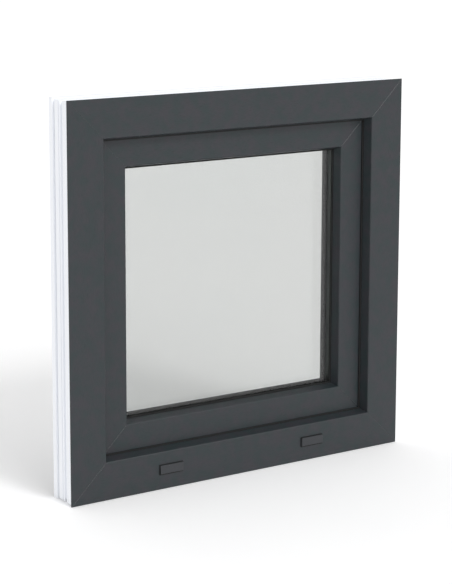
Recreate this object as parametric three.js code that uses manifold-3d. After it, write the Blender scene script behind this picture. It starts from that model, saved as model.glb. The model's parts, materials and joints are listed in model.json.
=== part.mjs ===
// A small square tilt-and-turn window: a fixed outer frame and an inward-opening glazed sash,
// with the lever handle, locking gear and hinges that let the sash turn and tilt.
//
// Millimetres, +Z up. The outside face looks toward -Y and the room is at +Y. The hinges are at +X.
// Profile sections are drawn as [h, y]: h runs inward from the frame's outer edge, and y runs from
// the outside face of the frame toward the room. The finished group is shifted so that its origin
// is in the middle of the rear foot under the sill.
import * as THREE from 'three';
import { mergeVertices } from 'three/addons/utils/BufferGeometryUtils.js';
import Module from 'manifold-3d';

const wasm = await Module();
wasm.setup();

// ---- overall sizes -------------------------------------------------------------------------
const WIDTH = 600; // outer frame, across
const HEIGHT = 600; // outer frame, up
const FRAME_DEPTH = 58; // outer frame, outside face to room face

// ---- profile sections ----------------------------------------------------------------------
const WALL = 3; // every outer wall of the hollow profiles
const MITRE_GAP = 0.3; // left open in each mitred corner
const FIT = 0.3; // gap between pieces that touch
const FRAME_FACE = 58.4; // visible outside face of the frame
const FRAME_LIP = 16; // thickness of the lip that the sash closes against
const LIP_SLOPE = Math.tan(Math.PI / 12); // the inner edges of both lips lean 15 degrees
const FOOT = 11; // rear foot of the frame's outer edge
const SASH_SETBACK = 19; // outside face of the sash behind that of the frame
const SASH_BEHIND_LIP = 8; // how far the sash reaches behind the frame lip
const SASH_FACE = 46; // visible outside face of the sash
const SASH_LIP = 15; // thickness of the sash's outside glazing lip
const GLAZING_LIP = 20; // height of that lip's front arris over the glazing floor
const FLANGE_OVERLAP = 8; // sash flange over the frame's room face
const FLANGE = 15; // thickness of that flange
const HARDWARE_GAP = 12; // between the sash's edge and the frame's rebate floor
const SEAL_GAP = 4; // between the frame's room face and the sash flange
const GROOVE_TO_FLANGE = 13; // middle of the hardware groove to the flange
const GROOVE_MOUTH = 16; // width of its mouth, which takes the faceplates
const GROOVE_MOUTH_DEPTH = 3;
const GROOVE_WIDTH = 12; // width of its lower part, where the rails slide
const GROOVE_DEPTH = 12;
const BEAD_FOOT = 3; // snap-in foot of the glazing beads
const BEAD_RISE = 5; // beads stand this far over the front edge of the sash profile
const BEAD_FLAT = 1.5; // flat top of the beads beside the glass
const BEAD_SLOPE = 10; // fall from there to the room face
const BEAD_FOOT_IN = 5; // glass side of the beads to the back of their foot

// ---- glazing -------------------------------------------------------------------------------
const PANE = 4; // thickness of each pane
const CAVITY = 16; // air space between the panes
const OUTSIDE_GASKET = 4; // between the sash lip and the glass
const BEAD_GASKET = 3; // between the glass and the beads
const GASKET_PROUD = 1.6; // the outside gaskets stand this far past the lips that hold them
const PANE_CLEARANCE = 5; // between the glazing floor and the edge of the glass
const SPACER_HEIGHT = 6.7;
const SEAL_HEIGHT = 8;
const BLOCK_LENGTH = 100;
const BLOCK_FROM_END = 40; // setting block to the end of the pane

// ---- steel reinforcement -------------------------------------------------------------------
const STEEL = 1.5; // sheet thickness
const STEEL_PLAY = 0.6; // steel to the walls of its chamber
const STEEL_END = 6; // steel to the mitre

// ---- water drains --------------------------------------------------------------------------
const DRAIN_WIDTH = 42;
const DRAIN_HEIGHT = 16.5;
const DRAIN_THICKNESS = 3;
const DRAIN_Z = 30.7; // middle of the drain caps above the sill's underside
const DRAIN_FROM_SIDE = 170; // middle of each cap from the side of the frame
const DRAIN_CHAMFER = 1;
const SLOT_MARGIN = 5; // end of the cap to the end of the slot behind it
const SLOT_HEIGHT = 6;

// ---- hinges --------------------------------------------------------------------------------
const AXIS_BESIDE_FLANGE = 8.4; // turning axis to the edge of the sash flange
const AXIS_BEHIND_FLANGE = 9; // both axes behind the front of the flange
const TILT_BELOW_FLANGE = 6; // tilting axis below the flange
const BARREL = 6.5; // radius of the hinge barrels
const HINGE_PIN = 3; // radius of the hinge pins
const TILT_PIN = 2.8;
const PIN_PLAY = 0.3; // radial play of the pins in their holes
const PLATE = 3; // thickness of the hinge plates
const PLATE_FROM_SIDE = 4; // hinge plates to the side of the frame
const SOCKET_DEPTH = 11.7;
const PIVOT_HEAD = 15.8; // height of the bottom pivot's head
const PIVOT_HEAD_DROP = 8.4; // how much of it is below the tilting axis
const COVER_WALL = 1.5;
const COVER_PLAY = 0.5; // barrels to the inside of the covers

// ---- stay arm ------------------------------------------------------------------------------
const ARM_LENGTH = 218; // turning axis to the arm's sliding pin
const ARM_WIDTH = 12;
const ARM_THICKNESS = 3;
const ARM_OVER_SASH = 4; // underside of the arm over the sash's edge
const ARM_PIN = 2.5;
const ARM_PIN_DROP = 13;
const ARM_PIN_PLAY = 2; // the pin in the guide's slot
const ARM_END = 8; // arm past its pin
const ARM_BEND = 14; // width of the arm where it cranks out
const ARM_PIN_TRAVEL = 11; // slides this far toward the hinge as the sash tilts
const ARM_CRANK = 42; // length of the cranked end beside the hinge
const ARM_STRAP_GAP = 0.5; // cranked end to the frame's room face
const KNUCKLE_HEIGHT = 8;
const LUG_HEIGHT = 4.5;
const KNUCKLE_TOP = 17; // top of the knuckle over the sash's flange

// ---- locking gear --------------------------------------------------------------------------
const BACKSET = 17.2; // handle axis in from the sash's outer edge
const TEETH = 10;
const PITCH = 6; // tooth pitch of the rack and the pinion
const ADDENDUM = 1.3;
const DEDENDUM = 1.8;
const TOOTH = 2.6; // tooth thickness at the pitch line
const GEAR_WIDTH = 6;
const HUB_WALL = 0.45; // round the corners of the spindle's square hole
const TRAVEL = 30; // slide of the rails over half a turn of the handle
const FACEPLATE = 2.5;
const FACEPLATE_SINK = 0.2; // faceplates below the sash's edge
const FACEPLATE_JOINT = 1; // between the ends of neighbouring faceplates
const STEM_PLAY = 0.8; // cam stems in their slots
const RAIL = 2.5;
const RAIL_SIDE = 1.5; // rails to each side of the groove
const CAM = 4.2; // radius of the cam rollers
const CAM_STEM = 2.4;
const CAM_OVER_KEEP = 1; // cams clear the lips of the keeps
const CAM_FROM_CORNER = 49.6; // lower and upper cam, from the corners of the sash
const TOP_CAM_FROM_CORNER = 139.6;
const RAIL_FROM_CORNER = 19.6;
const GUIDE_FROM_PIN = 32; // end of the stay guide past the arm's pin
const GUIDE_LENGTH = 180;
const CORNER_LEG = 36; // legs of the corner drive
const KEEP_THICKNESS = 2.5;
const KEEP_LENGTH = 62;
const KEEP_WIDTH = 17;
const KEEP_LIP = 1.2;
const CASE_END = 4; // case material past the handle screws
const CASE_WALL = 1.6;
const CASE_SIDE = 0.5; // case to each side of the groove

// ---- handle --------------------------------------------------------------------------------
const SPINDLE = 7; // square spindle, across flats
const SCREW_SPACING = 43;
const SCREW = 2.4;
const SCREW_HEAD = 4.2;
const ROSETTE_WIDTH = 28;
const ROSETTE_END = 11.5; // rosette past the handle screws
const ROSETTE_THICKNESS = 5;
const CAP_WALL = 2;
const CAP_DEPTH = 11;
const NECK = 8.8;
const GRIP_WIDTH = 20;
const GRIP_THICKNESS = 13;
const GRIP_LENGTH = 122; // from the handle axis to the tip
const GRIP_Y = 38; // middle of the grip in front of the sash

// ---- derived places ------------------------------------------------------------------------
const SASH_EDGE = FRAME_FACE - SASH_BEHIND_LIP;
const FRAME_LIP_EDGE = FRAME_FACE + FRAME_LIP * LIP_SLOPE;
const SASH_FRONT_EDGE = FRAME_FACE + SASH_FACE;
const GLASS_EDGE = SASH_FRONT_EDGE + SASH_LIP * LIP_SLOPE;
const GLAZING_FLOOR = SASH_FRONT_EDGE - GLAZING_LIP;
const FRAME_REBATE = SASH_EDGE - HARDWARE_GAP;
const FLANGE_EDGE = FRAME_REBATE - FLANGE_OVERLAP;
const FLANGE_Y = FRAME_DEPTH + SEAL_GAP;
const SASH_BACK = FLANGE_Y + FLANGE;
const GROOVE_Y = FLANGE_Y - GROOVE_TO_FLANGE;
const SASH_LIP_BACK = SASH_SETBACK + SASH_LIP;
const PANE_EDGE = GLAZING_FLOOR + PANE_CLEARANCE;
const PANE_Y = SASH_LIP_BACK + OUTSIDE_GASKET;
const CAVITY_Y = PANE_Y + PANE;
const INNER_PANE_Y = CAVITY_Y + CAVITY;
const UNIT_BACK = INNER_PANE_Y + PANE;
const BEAD_Y = UNIT_BACK + BEAD_GASKET;
const GROOVE_FLOOR = SASH_EDGE + GROOVE_DEPTH;
const RAIL_H = SASH_EDGE + GROOVE_MOUTH_DEPTH + FIT;
const AXIS_X = WIDTH / 2 - FLANGE_EDGE + AXIS_BESIDE_FLANGE;
const AXIS_Y = FLANGE_Y + AXIS_BEHIND_FLANGE;
const TILT_Z = FLANGE_EDGE - TILT_BELOW_FLANGE;
const HANDLE_H = SASH_EDGE + BACKSET;
const HANDLE_X = HANDLE_H - WIDTH / 2;
const HANDLE_Z = HEIGHT / 2;
const PITCH_RADIUS = (TEETH * PITCH) / (2 * Math.PI);
const SASH_TOP = HEIGHT - SASH_EDGE;
const FLANGE_TOP = HEIGHT - FLANGE_EDGE;
const ARM_PIN_X = AXIS_X - Math.sqrt(ARM_LENGTH ** 2 - (AXIS_Y - GROOVE_Y) ** 2);
const SASH_CHAMBER_H = GROOVE_FLOOR + WALL;
const SASH_CHAMBER_BACK = GROOVE_Y + GROOVE_WIDTH / 2 + WALL;
const BEAD_FOOT_Y = Math.max(BEAD_Y + BEAD_FOOT_IN, SASH_CHAMBER_BACK + WALL + BEAD_FOOT);

// ---- finishes ------------------------------------------------------------------------------
const finish = (color, roughness, metalness = 0) => ({ color, roughness, metalness });
const FOIL = finish(0x4a4c4f, 0.45);
const STEEL_GREY = finish(0x9a9da0, 0.4, 0.9);
const ZINC = finish(0xb9bcbe, 0.35, 0.9);
const RUBBER = finish(0x151616, 0.7);
const GLASS = finish(0xd5dad9, 0.05);
const SPACER = finish(0x8c9093, 0.4, 0.6);
const SEALANT = finish(0x1b1c1d, 0.8);
const BLOCK = finish(0x2f6fb0, 0.6);
const DARK_PLASTIC = finish(0x414346, 0.4);
const HANDLE_PAINT = finish(0x46484b, 0.35);

// ---- making solids -------------------------------------------------------------------------
function solidOf(geometry) {
  const bare = geometry.clone();
  bare.deleteAttribute('normal');
  bare.deleteAttribute('uv');
  const merged = mergeVertices(bare, 1e-4);
  const mesh = new wasm.Mesh({
    numProp: 3,
    vertProperties: merged.attributes.position.array,
    triVerts: merged.index.array,
  });
  return new wasm.Manifold(mesh);
}

function geometryOf(solid) {
  const mesh = solid.getMesh();
  const geometry = new THREE.BufferGeometry();
  geometry.setAttribute('position', new THREE.BufferAttribute(mesh.vertProperties, 3));
  geometry.setIndex(new THREE.BufferAttribute(mesh.triVerts, 1));
  return geometry;
}

function join(...geometries) {
  return geometryOf(geometries.map(solidOf).reduce((whole, piece) => whole.add(piece)));
}

function cut(geometry, ...tools) {
  return geometryOf(tools.map(solidOf).reduce((whole, tool) => whole.subtract(tool), solidOf(geometry)));
}

function box([x0, x1], [y0, y1], [z0, z1]) {
  const geometry = new THREE.BoxGeometry(x1 - x0, y1 - y0, z1 - z0);
  return geometry.translate((x0 + x1) / 2, (y0 + y1) / 2, (z0 + z1) / 2);
}

// Round rods, each between two places along one axis.
function rodX(radius, [x0, x1], y, z, sides = 28) {
  const geometry = new THREE.CylinderGeometry(radius, radius, x1 - x0, sides);
  return geometry.rotateZ(Math.PI / 2).translate((x0 + x1) / 2, y, z);
}

function rodY(radius, x, [y0, y1], z, sides = 28) {
  return new THREE.CylinderGeometry(radius, radius, y1 - y0, sides).translate(x, (y0 + y1) / 2, z);
}

function rodZ(radius, x, y, [z0, z1], sides = 28) {
  const geometry = new THREE.CylinderGeometry(radius, radius, z1 - z0, sides);
  return geometry.rotateX(Math.PI / 2).translate(x, y, (z0 + z1) / 2);
}

// A flat outline drawn in x and z, thickened from y0 to y1.
function plate(shape, [y0, y1]) {
  const settings = { depth: y1 - y0, bevelEnabled: false, curveSegments: 12 };
  const geometry = new THREE.ExtrudeGeometry(shape, settings);
  return geometry.rotateX(Math.PI / 2).translate(0, y1, 0);
}

function outline(points) {
  return new THREE.Shape(points.map(([x, y]) => new THREE.Vector2(x, y)));
}

function stadium(width, height) {
  const radius = width / 2;
  const straight = height / 2 - radius;
  const shape = new THREE.Shape();
  shape.absarc(0, straight, radius, 0, Math.PI, false);
  shape.absarc(0, -straight, radius, Math.PI, 2 * Math.PI, false);
  shape.closePath();
  return shape;
}

// ---- the four sides ------------------------------------------------------------------------
// A piece of a side is made with x along the side and z inward, as on the sill, then turned.
const SIDES = {
  sill: { length: WIDTH, turn: 0, x: 0, z: 0 },
  handle: { length: HEIGHT, turn: Math.PI / 2, x: -WIDTH / 2, z: HEIGHT / 2 },
  head: { length: WIDTH, turn: Math.PI, x: 0, z: HEIGHT },
  hinge: { length: HEIGHT, turn: 1.5 * Math.PI, x: WIDTH / 2, z: HEIGHT / 2 },
};

// Where a height on the handle side, or a place across the head, falls along that side.
const alongHandle = (z) => HEIGHT / 2 - z;
const alongHead = (x) => -x;

// A mitred length of a hollow section: each point's length follows from its own inset.
function mitred(side, points, chambers = []) {
  const shape = outline(points);
  for (const chamber of chambers) {
    shape.holes.push(outline(chamber));
  }
  const geometry = new THREE.ExtrudeGeometry(shape, { depth: 1, steps: 1, bevelEnabled: false });
  const place = geometry.attributes.position;
  for (let i = 0; i < place.count; i++) {
    const inset = place.getX(i);
    const length = SIDES[side].length - 2 * inset - MITRE_GAP;
    place.setXYZ(i, (0.5 - place.getZ(i)) * length, place.getY(i), inset);
  }
  return geometry;
}

// A square-cut length of a section, ending short of the mitres.
function straight(side, points) {
  const deepest = Math.max(...points.map(([inset]) => inset));
  const length = SIDES[side].length - 2 * (deepest + STEEL_END);
  const geometry = new THREE.ExtrudeGeometry(outline(points), { depth: length, bevelEnabled: false });
  return geometry.rotateY(-Math.PI / 2).translate(length / 2, 0, 0);
}

// A rectangular ring that runs round all four sides between two insets.
function ring(outer, inner, depths) {
  const rectangle = (inset) => [
    [inset - WIDTH / 2, inset],
    [WIDTH / 2 - inset, inset],
    [WIDTH / 2 - inset, HEIGHT - inset],
    [inset - WIDTH / 2, HEIGHT - inset],
  ];
  const shape = outline(rectangle(outer));
  shape.holes.push(outline(rectangle(inner)));
  return plate(shape, depths);
}

// A C of steel sheet: its back at one inset, its legs reaching to the other.
function channel(back, tips, y0, y1) {
  const inside = back + STEEL * Math.sign(tips - back);
  return [
    [back, y0],
    [tips, y0],
    [tips, y0 + STEEL],
    [inside, y0 + STEEL],
    [inside, y1 - STEEL],
    [tips, y1 - STEEL],
    [tips, y1],
    [back, y1],
  ];
}

const unit = new THREE.Group();

function add(name, geometry, look, side) {
  const mesh = new THREE.Mesh(geometry, new THREE.MeshStandardMaterial(look));
  mesh.name = name;
  if (side) {
    mesh.rotation.y = SIDES[side].turn;
    mesh.position.set(SIDES[side].x, 0, SIDES[side].z);
  }
  unit.add(mesh);
}

// ---- outer frame ---------------------------------------------------------------------------
// The outer edge has a thin front nose, two fixing grooves, a shallow line and the rear foot.
const FRAME_SECTION = [
  [0, 0],
  [FRAME_FACE, 0],
  [FRAME_LIP_EDGE, FRAME_LIP],
  [FRAME_REBATE, FRAME_LIP],
  [FRAME_REBATE, FRAME_DEPTH],
  [0, FRAME_DEPTH],
  [0, FRAME_DEPTH - FOOT],
  [5.5, FRAME_DEPTH - FOOT],
  [5.5, FRAME_DEPTH - FOOT - 3.5],
  [2, FRAME_DEPTH - FOOT - 3.5],
  [2, 32.5],
  [4, 32.5],
  [4, 30],
  [2, 30],
  [2, 26.5],
  [5, 26.5],
  [5, 19],
  [2, 19],
  [2, 2.6],
  [0, 2.6],
];
const FRAME_OUTER_WALL = 9; // from the outer edge to the chambers, past the grooves
const FRAME_CHAMBERS = [
  [
    [FRAME_OUTER_WALL, WALL],
    [FRAME_FACE - WALL, WALL],
    [FRAME_FACE - WALL, FRAME_LIP - WALL],
    [FRAME_OUTER_WALL, FRAME_LIP - WALL],
  ],
  [
    [FRAME_OUTER_WALL, FRAME_LIP],
    [FRAME_REBATE - WALL, FRAME_LIP],
    [FRAME_REBATE - WALL, FRAME_DEPTH - WALL],
    [FRAME_OUTER_WALL, FRAME_DEPTH - WALL],
  ],
];
const SLOT_HALF = DRAIN_WIDTH / 2 - SLOT_MARGIN;
const DRAIN_PLACES = [DRAIN_FROM_SIDE - WIDTH / 2, WIDTH / 2 - DRAIN_FROM_SIDE];

function frameMember(side) {
  const member = mitred(side, FRAME_SECTION, FRAME_CHAMBERS);
  if (side !== 'sill') {
    return member;
  }
  const slots = DRAIN_PLACES.map((x) =>
    box(
      [x - SLOT_HALF, x + SLOT_HALF],
      [-1, WALL + 1],
      [DRAIN_Z - SLOT_HEIGHT / 2, DRAIN_Z + SLOT_HEIGHT / 2],
    ),
  );
  return cut(member, ...slots);
}

function frameSteel(side) {
  const back = FRAME_OUTER_WALL + STEEL_PLAY;
  const tips = FRAME_REBATE - WALL - STEEL_PLAY;
  const y0 = FRAME_LIP + STEEL_PLAY;
  return straight(side, channel(back, tips, y0, FRAME_DEPTH - WALL - STEEL_PLAY));
}

// A cap with a chamfered front and two snap lugs that sit in the drain slot.
function drainCap(x) {
  const face = (width, height) => {
    const [a, b] = [width / 2, height / 2];
    return outline([
      [x - a, DRAIN_Z - b],
      [x + a, DRAIN_Z - b],
      [x + a, DRAIN_Z + b],
      [x - a, DRAIN_Z + b],
    ]);
  };
  const slim = 2 * DRAIN_CHAMFER;
  const back = plate(face(DRAIN_WIDTH, DRAIN_HEIGHT), [-DRAIN_THICKNESS + DRAIN_CHAMFER, -FIT]);
  const front = plate(face(DRAIN_WIDTH - slim, DRAIN_HEIGHT - slim), [-DRAIN_THICKNESS, -DRAIN_CHAMFER]);
  const lug = (start) => {
    const height = SLOT_HEIGHT / 2 - FIT;
    return box([start, start + 4], [-1, WALL + 1.5], [DRAIN_Z - height, DRAIN_Z + height]);
  };
  const reach = SLOT_HALF - FIT;
  return join(back, front, lug(x - reach), lug(x + reach - 4));
}

for (const side of Object.keys(SIDES)) {
  const name = side === 'handle' || side === 'hinge' ? `frame_jamb_${side}_side` : `frame_${side}`;
  add(name, frameMember(side), FOIL, side);
  add(`frame_steel_${side}`, frameSteel(side), STEEL_GREY, side);
}
add('drain_cap_left', drainCap(DRAIN_PLACES[0]), DARK_PLASTIC);
add('drain_cap_right', drainCap(DRAIN_PLACES[1]), DARK_PLASTIC);

const frameGasket = ring(
  SASH_EDGE + 1,
  FRAME_LIP_EDGE + GASKET_PROUD,
  [FRAME_LIP + FIT, SASH_SETBACK - FIT],
);
add('frame_gasket', frameGasket, RUBBER);

// ---- sash ----------------------------------------------------------------------------------
const MOUTH = [GROOVE_Y - GROOVE_MOUTH / 2, GROOVE_Y + GROOVE_MOUTH / 2];
const GROOVE = [GROOVE_Y - GROOVE_WIDTH / 2, GROOVE_Y + GROOVE_WIDTH / 2];
const MOUTH_FLOOR = SASH_EDGE + GROOVE_MOUTH_DEPTH;
const SASH_SECTION = [
  [SASH_EDGE, SASH_SETBACK],
  [SASH_FRONT_EDGE, SASH_SETBACK],
  [GLASS_EDGE, SASH_LIP_BACK],
  [GLAZING_FLOOR, SASH_LIP_BACK],
  [GLAZING_FLOOR, BEAD_FOOT_Y - BEAD_FOOT],
  [GLAZING_FLOOR - BEAD_FOOT, BEAD_FOOT_Y - BEAD_FOOT],
  [GLAZING_FLOOR - BEAD_FOOT, BEAD_FOOT_Y + FIT],
  [GLAZING_FLOOR, BEAD_FOOT_Y + FIT],
  [GLAZING_FLOOR, SASH_BACK],
  [FLANGE_EDGE, SASH_BACK],
  [FLANGE_EDGE, FLANGE_Y],
  [SASH_EDGE, FLANGE_Y],
  [SASH_EDGE, MOUTH[1]],
  [MOUTH_FLOOR, MOUTH[1]],
  [MOUTH_FLOOR, GROOVE[1]],
  [GROOVE_FLOOR, GROOVE[1]],
  [GROOVE_FLOOR, GROOVE[0]],
  [MOUTH_FLOOR, GROOVE[0]],
  [MOUTH_FLOOR, MOUTH[0]],
  [SASH_EDGE, MOUTH[0]],
];
const BEAD_FOOT_WALL = GLAZING_FLOOR - BEAD_FOOT - WALL;
const SASH_CHAMBERS = [
  [
    [MOUTH_FLOOR, SASH_SETBACK + WALL],
    [SASH_FRONT_EDGE - WALL, SASH_SETBACK + WALL],
    [SASH_FRONT_EDGE - WALL, SASH_LIP_BACK - WALL],
    [MOUTH_FLOOR, SASH_LIP_BACK - WALL],
  ],
  [
    [SASH_CHAMBER_H, SASH_LIP_BACK],
    [GLAZING_FLOOR - WALL, SASH_LIP_BACK],
    [GLAZING_FLOOR - WALL, SASH_CHAMBER_BACK],
    [SASH_CHAMBER_H, SASH_CHAMBER_BACK],
  ],
  [
    [FLANGE_EDGE + WALL, FLANGE_Y + WALL],
    [MOUTH_FLOOR, FLANGE_Y + WALL],
    [MOUTH_FLOOR, SASH_CHAMBER_BACK + WALL],
    [BEAD_FOOT_WALL, SASH_CHAMBER_BACK + WALL],
    [BEAD_FOOT_WALL, SASH_BACK - WALL],
    [FLANGE_EDGE + WALL, SASH_BACK - WALL],
  ],
];

const SCREW_PLACES = [-SCREW_SPACING / 2, SCREW_SPACING / 2];
const CASE_WIDTH = GROOVE_WIDTH - 2 * CASE_SIDE;
const CASE_HALF = SCREW_SPACING / 2 + SCREW + CASE_END;

// Holes through the room wall for the spindle and the two handle screws, on the handle stile.
function handleHoles(play) {
  const depth = [SASH_CHAMBER_BACK - 2 * WALL, SASH_BACK + 1];
  const middle = alongHandle(HANDLE_Z);
  const screws = SCREW_PLACES.map((offset) => rodY(SCREW + play, middle + offset, depth, HANDLE_H));
  return [rodY(SPINDLE * 0.75, middle, depth, HANDLE_H), ...screws];
}

function sashMember(side) {
  const member = mitred(side, SASH_SECTION, SASH_CHAMBERS);
  if (side !== 'handle') {
    return member;
  }
  const middle = alongHandle(HANDLE_Z);
  const half = CASE_HALF + CASE_SIDE;
  const pocket = box([middle - half, middle + half], GROOVE, [GROOVE_FLOOR - 1, SASH_CHAMBER_H + 1]);
  return cut(member, pocket, ...handleHoles(PIN_PLAY));
}

function sashSteel(side) {
  const back = GLAZING_FLOOR - WALL - STEEL_PLAY;
  const tips = SASH_CHAMBER_H + STEEL_PLAY;
  const y0 = SASH_LIP_BACK + STEEL_PLAY;
  const bar = straight(side, channel(back, tips, y0, SASH_CHAMBER_BACK - STEEL_PLAY));
  return side === 'handle' ? cut(bar, ...handleHoles(PIN_PLAY)) : bar;
}

const BEAD_SECTION = [
  [GLAZING_FLOOR + FIT, BEAD_Y],
  [SASH_FRONT_EDGE + BEAD_RISE, BEAD_Y],
  [SASH_FRONT_EDGE + BEAD_RISE, BEAD_Y + BEAD_FLAT],
  [SASH_FRONT_EDGE + BEAD_RISE - BEAD_SLOPE, SASH_BACK],
  [GLAZING_FLOOR + FIT, SASH_BACK],
  [GLAZING_FLOOR + FIT, BEAD_FOOT_Y],
  [GLAZING_FLOOR - BEAD_FOOT + FIT, BEAD_FOOT_Y],
  [GLAZING_FLOOR - BEAD_FOOT + FIT, BEAD_FOOT_Y - BEAD_FOOT + FIT],
  [GLAZING_FLOOR + FIT, BEAD_FOOT_Y - BEAD_FOOT + FIT],
];

const SASH_NAMES = {
  sill: 'sash_bottom_rail',
  handle: 'sash_stile_handle_side',
  head: 'sash_top_rail',
  hinge: 'sash_stile_hinge_side',
};
for (const [side, name] of Object.entries(SASH_NAMES)) {
  add(name, sashMember(side), FOIL, side);
  add(name.replace('sash', 'sash_steel'), sashSteel(side), STEEL_GREY, side);
  add(name.replace('sash', 'glazing_bead'), mitred(side, BEAD_SECTION), FOIL, side);
}

// ---- glazed unit ---------------------------------------------------------------------------
function pane(y) {
  const across = WIDTH / 2 - PANE_EDGE;
  return box([-across, across], [y, y + PANE], [PANE_EDGE, HEIGHT - PANE_EDGE]);
}

function settingBlock(direction) {
  const inner = WIDTH / 2 - PANE_EDGE - BLOCK_FROM_END - BLOCK_LENGTH / 2;
  const middle = direction * inner;
  const ends = [middle - BLOCK_LENGTH / 2, middle + BLOCK_LENGTH / 2];
  return box(ends, [PANE_Y, UNIT_BACK], [GLAZING_FLOOR + FIT, PANE_EDGE - FIT]);
}

const IN_CAVITY = [CAVITY_Y + FIT, INNER_PANE_Y - FIT];
add('glass_outside_pane', pane(PANE_Y), GLASS);
add('glass_room_pane', pane(INNER_PANE_Y), GLASS);
add('edge_seal', ring(PANE_EDGE + FIT, PANE_EDGE + SEAL_HEIGHT, IN_CAVITY), SEALANT);
const SPACER_H = PANE_EDGE + SEAL_HEIGHT + FIT;
add('spacer_bar', ring(SPACER_H, SPACER_H + SPACER_HEIGHT, IN_CAVITY), SPACER);
add('setting_block_handle_side', settingBlock(-1), BLOCK);
add('setting_block_hinge_side', settingBlock(1), BLOCK);

const GASKET_BAND = 8; // height of the glazing gaskets on the glass
const glazingGasket = (edge, y0, y1) => ring(edge - GASKET_BAND, edge, [y0 + FIT, y1 - FIT]);
add('glazing_gasket', glazingGasket(GLASS_EDGE + GASKET_PROUD, SASH_LIP_BACK, PANE_Y), RUBBER);
add('bead_gasket', glazingGasket(SASH_FRONT_EDGE + BEAD_RISE - FIT, UNIT_BACK, BEAD_Y), RUBBER);

// The room-side gasket sits on the sash flange and stops where the stay arm comes through.
const ARM_Z = SASH_TOP + ARM_OVER_SASH;
const SASH_GASKET_WIDTH = 6;
const SASH_GASKET_H = FLANGE_EDGE + 0.6;
const ARM_NOTCH = box(
  [AXIS_X - ARM_CRANK - 2, WIDTH / 2],
  [FRAME_DEPTH - 1, FLANGE_Y + 1],
  [ARM_Z - 3, HEIGHT],
);
add(
  'sash_gasket',
  cut(
    ring(SASH_GASKET_H, SASH_GASKET_H + SASH_GASKET_WIDTH, [FRAME_DEPTH + FIT, FLANGE_Y - FIT]),
    ARM_NOTCH,
  ),
  RUBBER,
);

// ---- gearbox, rails and cams ---------------------------------------------------------------
const RACK_LINE = HANDLE_H - PITCH_RADIUS;

// A gear outline from a root circle and straight-flanked teeth, one tooth pointing toward -x.
function gearOutline() {
  const points = [];
  const radii = [PITCH_RADIUS - DEDENDUM, PITCH_RADIUS + ADDENDUM];
  const halves = [TOOTH * 0.62, TOOTH * 0.28];
  for (let tooth = 0; tooth < TEETH; tooth++) {
    const middle = Math.PI + (tooth * 2 * Math.PI) / TEETH;
    const corners = [
      [radii[0], -halves[0]],
      [radii[1], -halves[1]],
      [radii[1], halves[1]],
      [radii[0], halves[0]],
    ];
    for (const [radius, across] of corners) {
      const angle = middle + Math.asin(across / radius);
      points.push([radius * Math.cos(angle), radius * Math.sin(angle)]);
    }
  }
  return points;
}

const HUB = (SPINDLE / 2 + FIT) * Math.SQRT2 + HUB_WALL;
const GEAR_Y = [GROOVE_Y - GEAR_WIDTH / 2, GROOVE_Y + GEAR_WIDTH / 2];
const CASE_Y = [GROOVE_Y - CASE_WIDTH / 2, GROOVE_Y + CASE_WIDTH / 2];

function pinion() {
  const hole = box(
    [-SPINDLE / 2 - FIT, SPINDLE / 2 + FIT],
    [GROOVE_Y - CASE_WIDTH, GROOVE_Y + CASE_WIDTH],
    [-SPINDLE / 2 - FIT, SPINDLE / 2 + FIT],
  );
  const hub = rodY(HUB, 0, [CASE_Y[0] + FIT, CASE_Y[1] - FIT], 0);
  return cut(join(plate(outline(gearOutline()), GEAR_Y), hub), hole).translate(HANDLE_X, 0, HANDLE_Z);
}

function gearboxCase() {
  const top = GLAZING_FLOOR - WALL - STEEL_PLAY - STEEL - FIT;
  const bottom = RAIL_H + RAIL + DEDENDUM;
  const middle = alongHandle(HANDLE_Z);
  const shell = box([middle - CASE_HALF, middle + CASE_HALF], CASE_Y, [bottom, top]);
  const half = PITCH_RADIUS + ADDENDUM + 1;
  const hollow = box(
    [middle - half, middle + half],
    [CASE_Y[0] + CASE_WALL, CASE_Y[1] - CASE_WALL],
    [bottom - 1, HANDLE_H + PITCH_RADIUS + ADDENDUM + PIN_PLAY],
  );
  const rack = box(
    [middle - CASE_HALF - 1, middle + CASE_HALF + 1],
    [GEAR_Y[0] - 0.5, GEAR_Y[1] + 0.5],
    [bottom - 1, RACK_LINE + ADDENDUM + 0.5],
  );
  const bearing = rodY(HUB + PIN_PLAY, middle, [CASE_Y[0] - 1, CASE_Y[1] + 1], HANDLE_H);
  const screws = SCREW_PLACES.map((offset) =>
    rodY(SCREW + PIN_PLAY, middle + offset, [GROOVE_Y - CASE_WIDTH, GROOVE_Y + CASE_WIDTH], HANDLE_H),
  );
  return cut(shell, hollow, rack, bearing, ...screws);
}

// The flat rail behind the side faceplate, with the rack that meshes with the pinion.
const RAIL_Y = [GROOVE[0] + RAIL_SIDE, GROOVE[1] - RAIL_SIDE];
const RAIL_END = SASH_EDGE + RAIL_FROM_CORNER;
const LOCK_RAIL_Z = [RAIL_END + TRAVEL, HEIGHT - RAIL_END];

function lockRail() {
  const ends = [alongHandle(LOCK_RAIL_Z[1]), alongHandle(LOCK_RAIL_Z[0])];
  const root = RAIL_H + RAIL - 0.5;
  const pieces = [box(ends, RAIL_Y, [RAIL_H, RAIL_H + RAIL])];
  const count = Math.round(TRAVEL / PITCH) + 2;
  for (let k = -2; k < count; k++) {
    const z = HANDLE_Z + (k + 0.5) * PITCH;
    const u = alongHandle(z);
    const tooth = outline([
      [u - TOOTH * 0.68, root],
      [u + TOOTH * 0.68, root],
      [u + TOOTH * 0.3, RACK_LINE + ADDENDUM],
      [u - TOOTH * 0.3, RACK_LINE + ADDENDUM],
    ]);
    pieces.push(plate(tooth, GEAR_Y));
  }
  return join(...pieces);
}

const TOP_RAIL_X = [RAIL_END + TRAVEL - WIDTH / 2, ARM_PIN_X - GUIDE_FROM_PIN - 2 * FACEPLATE_JOINT];

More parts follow.
